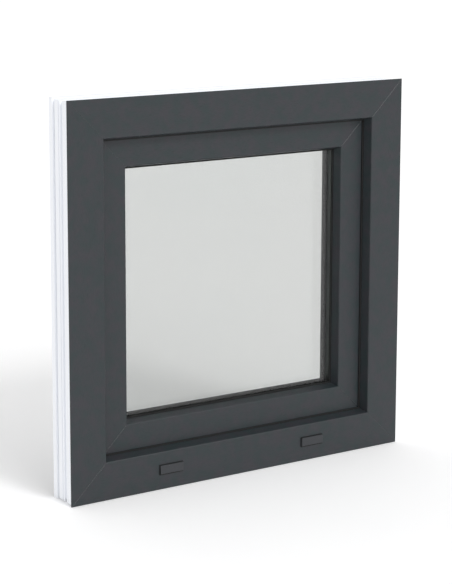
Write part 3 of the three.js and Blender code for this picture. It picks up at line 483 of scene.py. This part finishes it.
def glass_finish():
    """Coated float glass, faintly wavy."""
    material, wire = start_finish("coated_glass")
    waves = noise(wire, placed(wire), GLASS_WAVES, 1.0)
    film = noise(wire, placed(wire), GLASS_FILM, 2.0)
    sockets = {
        "Base Color": mixed(wire, film, tone(225, 227, 226), tone(229, 229, 228)),
        "Roughness": 0.0,
        "IOR": GLASS_REFRACTION,
        "Transmission Weight": 1.0,
        "Normal": bumped(wire, waves, 0.02, WAVE_BUMP),
    }
    return end_finish(material, wire, sockets)


coated_glass = glass_finish()

# %% [markdown]
# The hardware is zinc-plated steel. Plating has small cloudy crystals and a slightly uneven gloss,
# and the bars that stiffen the profiles are hot-dip galvanised, with larger flaky spangles.

# %% Zinc-plated and galvanised steel
ZINC_METALLIC = 0.9
ZINC_HAZE = 120.0
SCUFFS = 1400.0
SCUFF_STRETCH = (1, 1, 0.06)


def plated(name, light, dark, scale, roughness):
    """Zinc in small cells of slightly different brightness."""
    material, wire = start_finish(name)
    even = placed(wire)
    cells = wire.node("ShaderNodeTexVoronoi", {"feature": "F1"}, {"Vector": even, "Scale": scale}, 1)
    grey = wire.node("ShaderNodeRGBToBW", {}, {"Color": cells})
    haze = noise(wire, even, ZINC_HAZE, 3.0)
    scuffs = noise(wire, placed(wire, SCUFF_STRETCH), SCUFFS, 3.0, 0.7)
    sockets = {
        "Base Color": mixed(wire, grey * 0.6 + haze * 0.4, dark, light),
        "Metallic": ZINC_METALLIC,
        "Roughness": grey * 0.10 + scuffs * 0.22 + roughness,
        "Normal": bumped(wire, scuffs, 0.15, 0.0001),
    }
    return end_finish(material, wire, sockets)


zinc = plated("zinc_plating", tone(205, 207, 208), tone(168, 171, 173), 900.0, 0.22)
galvanised = plated("galvanised_steel", tone(190, 193, 196), tone(142, 146, 150), 160.0, 0.3)

# %% [markdown]
# Drain caps and hinge covers are injection moulded, and the lever is painted. All have a satin skin
# that is finer than the foil's, so one recipe serves them, and the two plastic blocks under the glass
# as well.

# %% Moulded plastic and powder-coated metal
MOULD_CLOUDS = 60.0


def moulded(name, light, dark, roughness, pebble_scale, pebble_depth):
    """Satin surface with a fine moulded or sprayed texture."""
    material, wire = start_finish(name)
    even = placed(wire)
    cloud = noise(wire, even, MOULD_CLOUDS, 3.0)
    pebble = noise(wire, even, pebble_scale, 2.0)
    sockets = {
        "Base Color": mixed(wire, cloud * 0.6 + pebble * 0.4, dark, light),
        "Roughness": pebble * 0.14 + roughness,
        "Normal": bumped(wire, pebble, 0.3, pebble_depth),
    }
    return end_finish(material, wire, sockets)


cap_plastic = moulded("cap_plastic", tone(47, 49, 53), tone(40, 42, 46), 0.34, 2200.0, 0.00015)
cover_plastic = moulded("cover_plastic", tone(58, 61, 64), tone(48, 51, 54), 0.32, 1600.0, 0.0002)
handle_paint = moulded("handle_paint", tone(66, 69, 72), tone(54, 57, 60), 0.26, 1100.0, 0.00025)
block_plastic = moulded("block_plastic", tone(58, 116, 186), tone(40, 92, 160), 0.45, 900.0, 0.0003)

# %% [markdown]
# ## Profiles
# A plastic profile is extruded through a die, cut at 45 degrees and welded at the corners, and the
# weld is trimmed to a shallow V-groove. The pieces are made the same way: the section's corners
# are joined by edges, the edges are extruded into walls, the long arrises are bevelled, and
# planes cut the ends. A box with an inset would be quicker, but its corners would show no mitre.
#
# Each member is made lying along X as on the sill, with h, the distance inward from the frame's
# outer edge, pointing up. Then it is turned about Y to its own side.

# %% Short helpers for meshes
VERT, EDGE, FACE = bmesh.types.BMVert, bmesh.types.BMEdge, bmesh.types.BMFace
SAME_PLACE = 1e-6  # metres: closer points than this are one point
SQUARE_ON = 0.9  # a face looks along an axis when its normal has more than this of it


def only(parts, kind):
    """The vertices, edges or faces out of what an operator made."""
    return [part for part in parts if isinstance(part, kind)]


def round_edges(bm, edges, radius, segments):
    """Bevels edges with one radius."""
    bmesh.ops.bevel(bm, geom=edges, offset=radius, offset_type="OFFSET", segments=segments,
                    profile=0.5, affect="EDGES", clamp_overlap=True, material=-1)


def block(low, high):
    """A new bmesh that holds one box between two corners."""
    bm = bmesh.new()
    bmesh.ops.create_cube(bm, size=1)
    bmesh.ops.scale(bm, verts=bm.verts, vec=high - low)
    bmesh.ops.translate(bm, verts=bm.verts, vec=(low + high) / 2)
    return bm


def deep_edges(bm, least):
    """The edges that run from outside to inside, over more than a least depth."""
    return [e for e in bm.edges if abs(e.verts[0].co.y - e.verts[1].co.y) > least]


# %% [markdown]
# The four sides differ only in length, in the angle they are turned by and in where they start, so
# one small table holds those, and its lengths are measured on the CAD model.

# %% The four sides, from the CAD boxes
outer_low, outer_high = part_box("frame_sill")[0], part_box("frame_head")[1]
WIDTH = outer_high.x - outer_low.x
HEIGHT = outer_high.z - outer_low.z
FRONT_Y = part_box("frame_head")[0].y  # the outside face of the frame
SIDES = {
    "sill": (WIDTH, 0, (0, 0)),
    "handle": (HEIGHT, 90, (-WIDTH / 2, HEIGHT / 2)),
    "head": (WIDTH, 180, (0, HEIGHT)),
    "hinge": (HEIGHT, 270, (WIDTH / 2, HEIGHT / 2)),
}
print("sides", round(WIDTH, 4), "x", round(HEIGHT, 4), "front at y", round(FRONT_Y, 4))


def side_matrix(side):
    """Turns and moves a member from the sill's place to its own."""
    _, degrees, (x, z) = SIDES[side]
    return Matrix.Translation((x, 0, z)) @ Matrix.Rotation(math.radians(degrees), 4, "Y")


# %% [markdown]
# A section is a list of corners. Each holds its place, the radius of its arris and the finish of
# the wall that starts there, because the foil covers only the faces that stay in view. Long walls
# are made by one edge extrusion, so no corner of the far end has to be written down.

# %% Extruding a section
FOIL, CORE, WELD = 0, 1, 2  # material slots of a profile
CUT_SNAP = 1e-7  # metres: a plane that passes this close to a point goes through it
OVERRUN = 0.02  # extra length, which the mitre cuts take off


def point_of(corner):
    """A section's corner (h, y, ...) in millimetres as (y, z) in metres."""
    return FRONT_Y + corner[1] * MM, corner[0] * MM


def walls(bm, corners, half):
    """Extrudes a closed section along X. A wall takes the finish of its first corner."""
    places = [point_of(corner) for corner in corners]
    verts = [bm.verts.new((-half, y, z)) for y, z in places]
    count = len(verts)
    edges = [bm.edges.new((verts[i], verts[(i + 1) % count])) for i in range(count)]
    made = bmesh.ops.extrude_edge_only(bm, edges=edges)["geom"]
    bmesh.ops.translate(bm, verts=only(made, VERT), vec=(2 * half, 0, 0))
    for face in only(made, FACE):
        middle = face.calc_center_median()
        for i in range(count):
            (y0, z0), (y1, z1) = places[i], places[(i + 1) % count]
            if math.dist((middle.y, middle.z), ((y0 + y1) / 2, (z0 + z1) / 2)) < SAME_PLACE:
                face.material_index = corners[i][3]


def round_arrises(bm, corners, segments=4):
    """Bevels the long edges that run through the section's corners, each with its own radius."""
    for radius in sorted({corner[2] for corner in corners if corner[2] > 0}):
        places = [point_of(corner) for corner in corners if corner[2] == radius]
        chosen = []
        for edge in bm.edges:
            a, b = edge.verts[0].co, edge.verts[1].co
            if abs(a.x - b.x) > OVERRUN:
                if any(math.dist((a.y, a.z), place) < SAME_PLACE for place in places):
                    chosen.append(edge)
        round_edges(bm, chosen, radius * MM, segments)


def cut(bm, point, normal, close=True, slot=FOIL):
    """Takes off what lies on the normal's side of a plane, and closes the cut with a finish."""
    everything = bm.verts[:] + bm.edges[:] + bm.faces[:]
    made = bmesh.ops.bisect_plane(bm, geom=everything, dist=CUT_SNAP, plane_co=point,
                                  plane_no=normal, clear_outer=True)
    rim = only(made["geom_cut"], EDGE)
    if close and rim:
        made = bmesh.ops.triangle_fill(bm, use_beauty=True, use_dissolve=False, edges=rim)["geom"]
        for face in only(made, FACE):
            face.material_index = slot


# %% [markdown]
# A welded corner is two 45-degree cuts pressed together. A plane through the member takes off its
# end, and the cut is filled again, with hollow chambers left open inside it. Two more planes per
# visible face, tilted by a few degrees, leave half of the V-groove on each member.

# %% Cutting the mitres
WELD_GAP = 0.00002  # left open in the middle of each weld
GROOVE_HALF = 0.0006  # half the width of the trimmed V-groove
GROOVE_DEEP = 0.00028  # how deep the groove is in its middle


def mitre(bm, half, close=True, grooved=()):
    """Cuts both ends at 45 degrees. Each grooved face, (y, -1 or 1), gets half a V-groove."""
    reach = half - WELD_GAP
    for end in (-1, 1):
        cut(bm, (end * reach, 0, 0), (end, 0, 1), close)
        for y, facing in grooved:
            start = (end * (reach - GROOVE_HALF), FRONT_Y + y * MM, 0)
            slope = (end * GROOVE_DEEP, facing * GROOVE_HALF, GROOVE_DEEP)
            cut(bm, start, slope, True, WELD)


# %% [markdown]
# Weighted normals keep the big flat faces flat beside their small bevels.

# %% From bmesh to a finished piece
SMOOTH_BELOW = math.radians(35)  # edges that bend more than this stay sharp


def add_piece(name, bm, finishes, slot, body, *nodes, even=True):
    bmesh.ops.recalc_face_normals(bm, faces=bm.faces[:])
    for face in bm.faces:
        face.smooth = True
    for edge in bm.edges:
        if len(edge.link_faces) == 2 and edge.calc_face_angle(0) > SMOOTH_BELOW:
            edge.smooth = False
    mesh = bpy.data.meshes.new(name)
    bm.to_mesh(mesh)
    bm.free()
    piece = bpy.data.objects.new(name, mesh)
    scene.collection.objects.link(piece)
    for finish in finishes:
        mesh.materials.append(finish)
    if even:
        piece.modifiers.new("even_shading", "WEIGHTED_NORMAL").keep_sharp = True
    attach(piece, body)
    if nodes:
        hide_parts(*nodes)
    print(name, len(mesh.vertices), "corners,", len(mesh.polygons), "faces")
    return piece


def member(name, side, outline, chambers, grooved, slot, body, node):
    """One mitred profile: walls, rounded arrises, mitre cuts and grooves."""
    half = SIDES[side][0] / 2
    bm = bmesh.new()
    for section in [outline] + chambers:
        walls(bm, section, half + OVERRUN)
    round_arrises(bm, outline)
    mitre(bm, half, True, grooved)
    bm.transform(side_matrix(side))
    upright = side in ("handle", "hinge")
    finishes = [foil_upright, pvc_upright] if upright else [foil_across, pvc_across]
    return add_piece(name, bm, finishes + [weld_lacquer], slot, body, node)


# %% [markdown]
# The outer frame is screwed to the wall. Its lip covers the edge of the sash, and the two grooves in
# its white outer edge hold expanding sealing tape or clip on to other profiles.

# %% Outer frame
FRAME_OUTLINE = [
    (0, 0, 0.9, FOIL), (58.4, 0, 1.6, FOIL), (62.69, 16, 0.6, FOIL), (38.4, 16, 0, CORE),
    (38.4, 58, 1.2, FOIL), (0, 58, 0.9, CORE), (0, 47, 0.4, CORE), (5.5, 47, 0, CORE),
    (5.5, 43.5, 0, CORE), (2, 43.5, 0.4, CORE), (2, 32.5, 0.4, CORE), (4, 32.5, 0, CORE),
    (4, 30, 0, CORE), (2, 30, 0.4, CORE), (2, 26.5, 0.4, CORE), (5, 26.5, 0, CORE),
    (5, 19, 0, CORE), (2, 19, 0.4, CORE), (2, 2.6, 0, CORE), (0, 2.6, 0.4, FOIL),
]
FRAME_CHAMBERS = [[(9, 6, 0, CORE), (34, 6, 0, CORE), (34, 52, 0, CORE), (9, 52, 0, CORE)]]
FRAME_GROOVES = ((0, -1), (58, 1))
FRAME_MEMBERS = {
    "frame_sill": "sill", "frame_head": "head",
    "frame_jamb_handle_side": "handle", "frame_jamb_hinge_side": "hinge",
}
for node, side in FRAME_MEMBERS.items():
    member(node + "_profile", side, FRAME_OUTLINE, FRAME_CHAMBERS, FRAME_GROOVES,
           "frame_profile", "frame", node)

# %% [markdown]
# The sash profile has a deep groove round its edge, where the locking rails slide, and a rebate
# that takes the glass. Its room-side flange laps over the frame.

# %% Sash
SASH_OUTLINE = [
    (50.4, 19, 0.6, FOIL), (104.4, 19, 1.6, FOIL), (108.42, 34, 0.6, FOIL), (84.4, 34, 0, CORE),
    (84.4, 67, 0, CORE), (81.4, 67, 0, CORE), (81.4, 70.3, 0, CORE), (84.4, 70.3, 0, FOIL),
    (84.4, 77, 0.5, FOIL), (30.4, 77, 2.0, FOIL), (30.4, 62, 0.8, FOIL), (50.4, 62, 0, CORE),
    (50.4, 57, 0, CORE), (53.4, 57, 0, CORE), (53.4, 55, 0, CORE), (62.4, 55, 0, CORE),
    (62.4, 43, 0, CORE), (53.4, 43, 0, CORE), (53.4, 41, 0, CORE), (50.4, 41, 0.4, CORE),
]
SASH_CHAMBERS = [[(65.4, 38, 0, CORE), (80, 38, 0, CORE), (80, 61, 0, CORE), (65.4, 61, 0, CORE)]]
SASH_GROOVES = ((19, -1), (77, 1))
SASH_MEMBERS = {
    "sash_bottom_rail": "sill", "sash_top_rail": "head",
    "sash_stile_handle_side": "handle", "sash_stile_hinge_side": "hinge",
}
for node, side in SASH_MEMBERS.items():
    member(node + "_profile", side, SASH_OUTLINE, SASH_CHAMBERS, SASH_GROOVES,
           "sash_profile", "sash", node)

# %% [markdown]
# The beads snap into the sash from the room side and press the glass against the outside gasket.
# They stand a little higher than the sash's own lip and slope down toward the room, so from outside
# their edge shows through the glass as a dark strip.

# %% Glazing beads
BEAD_OUTLINE = [
    (84.7, 65, 0, FOIL), (109.4, 65, 0.4, FOIL), (109.4, 66.5, 0.9, FOIL), (99.4, 77, 1.5, FOIL),
    (84.7, 77, 0.4, FOIL), (84.7, 70, 0, CORE), (81.7, 70, 0, CORE), (81.7, 67.3, 0, CORE),
    (84.7, 67.3, 0, CORE),
]
for node, side in SASH_MEMBERS.items():
    bead = node.replace("sash_", "glazing_bead_")
    member(bead + "_profile", side, BEAD_OUTLINE, [], (), "bead", "sash", bead)

# %% [markdown]
# ## Glazing
# The sealed unit is two panes, a spacer bar and a sealant round the edge. Gaskets, spacer and
# sealant run round all four sides without a break, so their four mitred strips are left open at
# the ends and welded into one closed ring.

# %% Rings
def ring(name, corners, finish, slot, body, *nodes):
    """A closed ring of one section: four mitred strips, joined at their corners."""
    bm = bmesh.new()
    for side in SIDES:
        half = SIDES[side][0] / 2
        strip = bmesh.new()
        walls(strip, corners, half + OVERRUN)
        round_arrises(strip, corners, 3)
        for end in (-1, 1):
            cut(strip, (end * half, 0, 0), (end, 0, 1), False)
        strip.transform(side_matrix(side))
        holder = bpy.data.meshes.new("strip")
        strip.to_mesh(holder)
        strip.free()
        bm.from_mesh(holder)
        bpy.data.meshes.remove(holder)
    bmesh.ops.remove_doubles(bm, verts=bm.verts[:], dist=SAME_PLACE)
    return add_piece(name, bm, [finish], slot, body, *nodes)


def bar(h0, h1, y0, y1, radius):
    """A four-cornered section with rounded corners."""
    return [(h0, y0, radius, 0), (h1, y0, radius, 0), (h1, y1, radius, 0), (h0, y1, radius, 0)]


FRAME_GASKET = bar(51.4, 64.7, 16.3, 18.7, 0.4)
GLAZING_GASKET = bar(102.0, 110.6, 34.3, 37.7, 0.4)
BEAD_GASKET = bar(101.4, 109.1, 62.3, 64.7, 1.0)
EDGE_SEAL = bar(89.7, 97.4, 42.3, 57.7, 0.5)
SPACER_OUTLINE = [
    (97.7, 42.3, 0.4, 0), (104.4, 42.3, 0.5, 0), (104.4, 44.3, 0.2, 0), (103.9, 44.8, 0, 0),
    (103.9, 55.2, 0, 0), (104.4, 55.7, 0.2, 0), (104.4, 57.7, 0.5, 0), (97.7, 57.7, 0.4, 0),
]
ring("frame_gasket_ring", FRAME_GASKET, gasket_rubber, "gasket", "frame", "frame_gasket")
ring("glazing_gasket_ring", GLAZING_GASKET, gasket_rubber, "gasket", "sash", "glazing_gasket")
ring("bead_gasket_ring", BEAD_GASKET, gasket_rubber, "gasket", "sash", "bead_gasket")
ring("edge_seal_ring", EDGE_SEAL, edge_sealant, "sealant", "sash", "edge_seal")
ring("spacer_bar_ring", SPACER_OUTLINE, spacer_aluminium, "spacer", "sash", "spacer_bar")

# %% [markdown]
# A pane is cut from a large sheet, and its sharp edge is seamed with a belt so that it can be
# handled. A box with a fine bevel is all there is to it.

# %% Panes
PANE_ARRIS = 0.0005  # the sharp edge is seamed off the glass


def pane(node):
    """A pane with seamed edges."""
    bm = block(*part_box(node))
    round_edges(bm, bm.edges[:], PANE_ARRIS, 2)
    add_piece(node + "_seamed", bm, [coated_glass], "glass", "sash", node)


for node in ("glass_outside_pane", "glass_room_pane"):
    pane(node)

# %% [markdown]
# ## Drain caps
# Rain that gets into the sill runs out through two slots, and a small moulded cap covers each one.
# A thin flange lies on the foil and a raised hood stands on it, a little smaller all round. The
# flange is black rubber, so a dark line of painted shade is left round the hood, and the hood is
# lifted on it so that this painted shadow is widest below. The hood's edges are soft and catch a fine
# line of light.

# %% Drain caps
CAP_CORNER = 0.0016  # radius of the flange's corners
CAP_FLANGE = 0.0006  # thickness of the flange over the foil
# the flange's free margin round the hood is painted shade, and the lift puts more of it below the
# hood
CAP_SHADE_MARGIN = 0.0011  # flange left free round the hood
CAP_SHADOW_LIFT = 0.0010  # more flange below the hood than above it
CAP_SOFT = 0.0007  # radius of the hood's soft edges
HOOD_FINISH, FLANGE_PAINTED_SHADE = 0, 1  # material slots of a cap


def drain_cap(node):
    """A thin flange, black as painted shade, with a raised, soft-edged hood."""
    low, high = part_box(node)
    flange_low = Vector((low.x, FRONT_Y - CAP_FLANGE, low.z))
    bm = block(flange_low, high)
    round_edges(bm, deep_edges(bm, CAP_FLANGE), CAP_CORNER, 5)
    for face in bm.faces:
        face.material_index = FLANGE_PAINTED_SHADE
    front = [face for face in bm.faces if face.normal.y < -SQUARE_ON]
    bmesh.ops.inset_region(bm, faces=front, thickness=CAP_SHADE_MARGIN, use_even_offset=True)
    middle = (low.z + high.z) / 2
    lower = {vert for face in front for vert in face.verts if vert.co.z < middle}
    bmesh.ops.translate(bm, verts=list(lower), vec=(0, 0, CAP_SHADOW_LIFT))
    made = bmesh.ops.extrude_face_region(bm, geom=front)["geom"]
    bmesh.ops.delete(bm, geom=front, context="FACES_ONLY")
    bmesh.ops.translate(bm, verts=only(made, VERT), vec=(0, low.y - flange_low.y, 0))
    for face in bm.faces:
        if face.calc_center_median().y < flange_low.y - CAP_SOFT / 2:
            face.material_index = HOOD_FINISH
    rim = [edge for face in only(made, FACE) for edge in face.edges]
    round_edges(bm, rim, CAP_SOFT, 4)
    # the flange takes the black gasket rubber as painted shade round the hood
    add_piece(node + "_moulded", bm, [cap_plastic, gasket_rubber], "drain_cap", "frame", node)


for node in ("drain_cap_left", "drain_cap_right"):
    drain_cap(node)

# %% [markdown]
# ## Hardware
# The locking rails, cams, keeps, hinges and the gearbox are stamped, die-cast and turned parts,
# and none of them has a sharp edge. Their CAD shapes are right, so each is copied, its loose
# triangles are merged back into flat faces, and its sharp edges are bevelled by a fraction of a
# millimetre, which gives every edge the thin highlight that real metal shows.

# %% Softened copies of the CAD hardware
SHARP = math.radians(32)  # edges that bend more than this are eased
FLAT = math.radians(1.0)  # triangles that bend less than this are one face


def softened(node, offset, finish, slot, segments=2):
    """A copy of a CAD node with its sharp edges eased."""
    bm = bmesh.new()
    bm.from_mesh(frame["nodes"][node].data)
    bmesh.ops.remove_doubles(bm, verts=bm.verts[:], dist=SAME_PLACE)
    bmesh.ops.dissolve_limit(bm, angle_limit=FLAT, verts=bm.verts[:], edges=bm.edges[:])
    for face in bm.faces:
        face.material_index = 0
    sharp = [e for e in bm.edges if len(e.link_faces) == 2 and e.calc_face_angle(0) > SHARP]
    round_edges(bm, sharp, offset * MM, segments)
    body = frame["nodes"][node]["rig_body"]
    return add_piece(node + "_eased", bm, [finish], slot, body, node)


ZINC_PARTS = {
    "lock_rail": 0.25, "top_rail": 0.25, "side_faceplate": 0.3, "top_faceplate": 0.3,
    "corner_drive": 0.3, "cam_lower": 0.4, "cam_upper": 0.4, "cam_top": 0.4,
    "keep_lower": 0.3, "keep_upper": 0.3, "keep_top": 0.3, "stay_arm": 0.3, "stay_guide": 0.3,
    "top_bearing": 0.3, "top_hinge_pin": 0.3, "bottom_bearing": 0.3, "bottom_pivot": 0.3,
    "gearbox_case": 0.25, "pinion": 0.12, "spindle": 0.3, "handle_screw_lower": 0.3,
    "handle_screw_upper": 0.3,
}
for node, offset in ZINC_PARTS.items():
    softened(node, offset, zinc, "hardware")
softened("sash_gasket", 0.5, gasket_rubber, "gasket")
softened("rosette", 0.4, cover_plastic, "handle")
softened("corner_band", 0.9, cover_plastic, "hinge_cover", 3)

# %% [markdown]
# The steel bars inside the profiles and the two blocks under the glass can only be seen when the
# window is taken apart. They keep their CAD shape and get a finish only.

# %% Hidden parts keep their CAD shape
def refinish(word, finish):
    """Gives a new finish to the CAD parts whose names hold a word."""
    found = [cad for node, cad in frame["nodes"].items() if word in node]
    for cad in found:
        cad.data.materials.clear()
        cad.data.materials.append(finish)
    print(len(found), "CAD parts with", finish.name)


refinish("steel", galvanised)
refinish("setting_block", block_plastic)

# %% [markdown]
# ## Covers and handle
# The hinge covers and the cap over the handle's rosette are thin moulded shells with generous
# radii. A block with two sizes of bevel makes them: large on the edges that run into the room,
# small round the face that looks into it.

# %% Rounded covers
def cover(node, corner_radius, rim_radius, slot):
    """A moulded cover: a block with rounded corners and a soft rim on the room side."""
    bm = block(*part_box(node))
    round_edges(bm, deep_edges(bm, MM), corner_radius * MM, 8)
    back = [e for f in bm.faces if f.normal.y > SQUARE_ON for e in f.edges]
    round_edges(bm, back, rim_radius * MM, 5)
    body = frame["nodes"][node]["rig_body"]
    return add_piece(node + "_moulded", bm, [cover_plastic], slot, body, node)


cover("rosette_cap", 9.0, 3.0, "handle")
cover("top_hinge_cover", 3.0, 2.0, "hinge_cover")
cover("bottom_hinge_cover", 3.0, 2.0, "hinge_cover")

# %% [markdown]
# The lever is die-cast: a round neck that bends down into a slightly flattened grip. It is drawn
# as one ring of points that is extruded out of the sash, turned through the bend and extruded
# down the grip, and subdivision rounds it off.

# %% Lever handle
lever_low, lever_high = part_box("handle_lever")
AXIS_X = (lever_low.x + lever_high.x) / 2
LEVER_HEAD = 0.010  # from the lever's top down to its axis
AXIS_Z = lever_high.z - LEVER_HEAD
NECK = 0.0086  # radius of the round neck
NECK_CORNERS = 16
NECK_STEPS = (0.15, 0.85)  # shares of the neck's length
GRIP_THICK = 0.013
GRIP_WIDE = lever_high.x - lever_low.x
GRIP_Y = lever_high.y - GRIP_THICK / 2
BEND = 0.0105  # radius of the bend
BEND_STEPS = 4
GRIP_STEPS = [  # share of the grip's length, and how the ring is scaled at its end
    (0.12, (1, 1, 1)), (0.40, (0.96, 1, 1)), (0.38, (0.92, 0.95, 1)),
    (0.07, (0.97, 0.97, 1)), (0.024, (0.86, 0.84, 1)), (0.006, (0.6, 0.55, 1)),
]


def lever():
    """The lever: neck, bend and grip from one travelling ring."""
    bm = bmesh.new()
    bmesh.ops.create_circle(bm, cap_ends=True, radius=NECK, segments=NECK_CORNERS)
    start = Matrix.Translation((AXIS_X, lever_low.y, AXIS_Z))
    bm.transform(start @ Matrix.Rotation(math.radians(-90), 4, "X"))
    front = bm.faces[:]

    def push(move, scale=(1, 1, 1), facing=0):
        """Extrudes the ring, moves it and scales it about its own middle."""
        nonlocal front
        made = bmesh.ops.extrude_face_region(bm, geom=front)["geom"]
        verts = only(made, VERT)
        bmesh.ops.delete(bm, geom=front, context="FACES_ONLY")
        front = only(made, FACE)
        bmesh.ops.translate(bm, verts=verts, vec=move)
        middle = front[0].calc_center_median()
        own_space = Matrix.Rotation(facing, 4, "X") @ Matrix.Translation(-middle)
        bmesh.ops.scale(bm, verts=verts, vec=scale, space=own_space)
        return verts

    neck_run = GRIP_Y - BEND - lever_low.y
    for share in NECK_STEPS:
        push((0, neck_run * share, 0))
    pivot = Vector((AXIS_X, GRIP_Y - BEND, AXIS_Z - BEND))
    quarter_step = math.radians(90 / BEND_STEPS)
    flatter = (GRIP_THICK / (2 * NECK)) ** (1 / BEND_STEPS)
    wider = (GRIP_WIDE / (2 * NECK)) ** (1 / BEND_STEPS)
    for step in range(BEND_STEPS):
        verts = push((0, 0, 0), (wider, 1, flatter), quarter_step * step)
        turn = Matrix.Rotation(-quarter_step, 3, "X")
        bmesh.ops.rotate(bm, verts=verts, cent=pivot, matrix=turn)
    drop = AXIS_Z - BEND - lever_low.z
    for share, scale in GRIP_STEPS:
        push((0, 0, -drop * share), scale)
    piece = add_piece("handle_lever_cast", bm, [handle_paint], "handle", "handle", "handle_lever",
                      even=False)
    rounding = piece.modifiers.new("rounding", "SUBSURF")
    rounding.levels = rounding.render_levels = 2


lever()
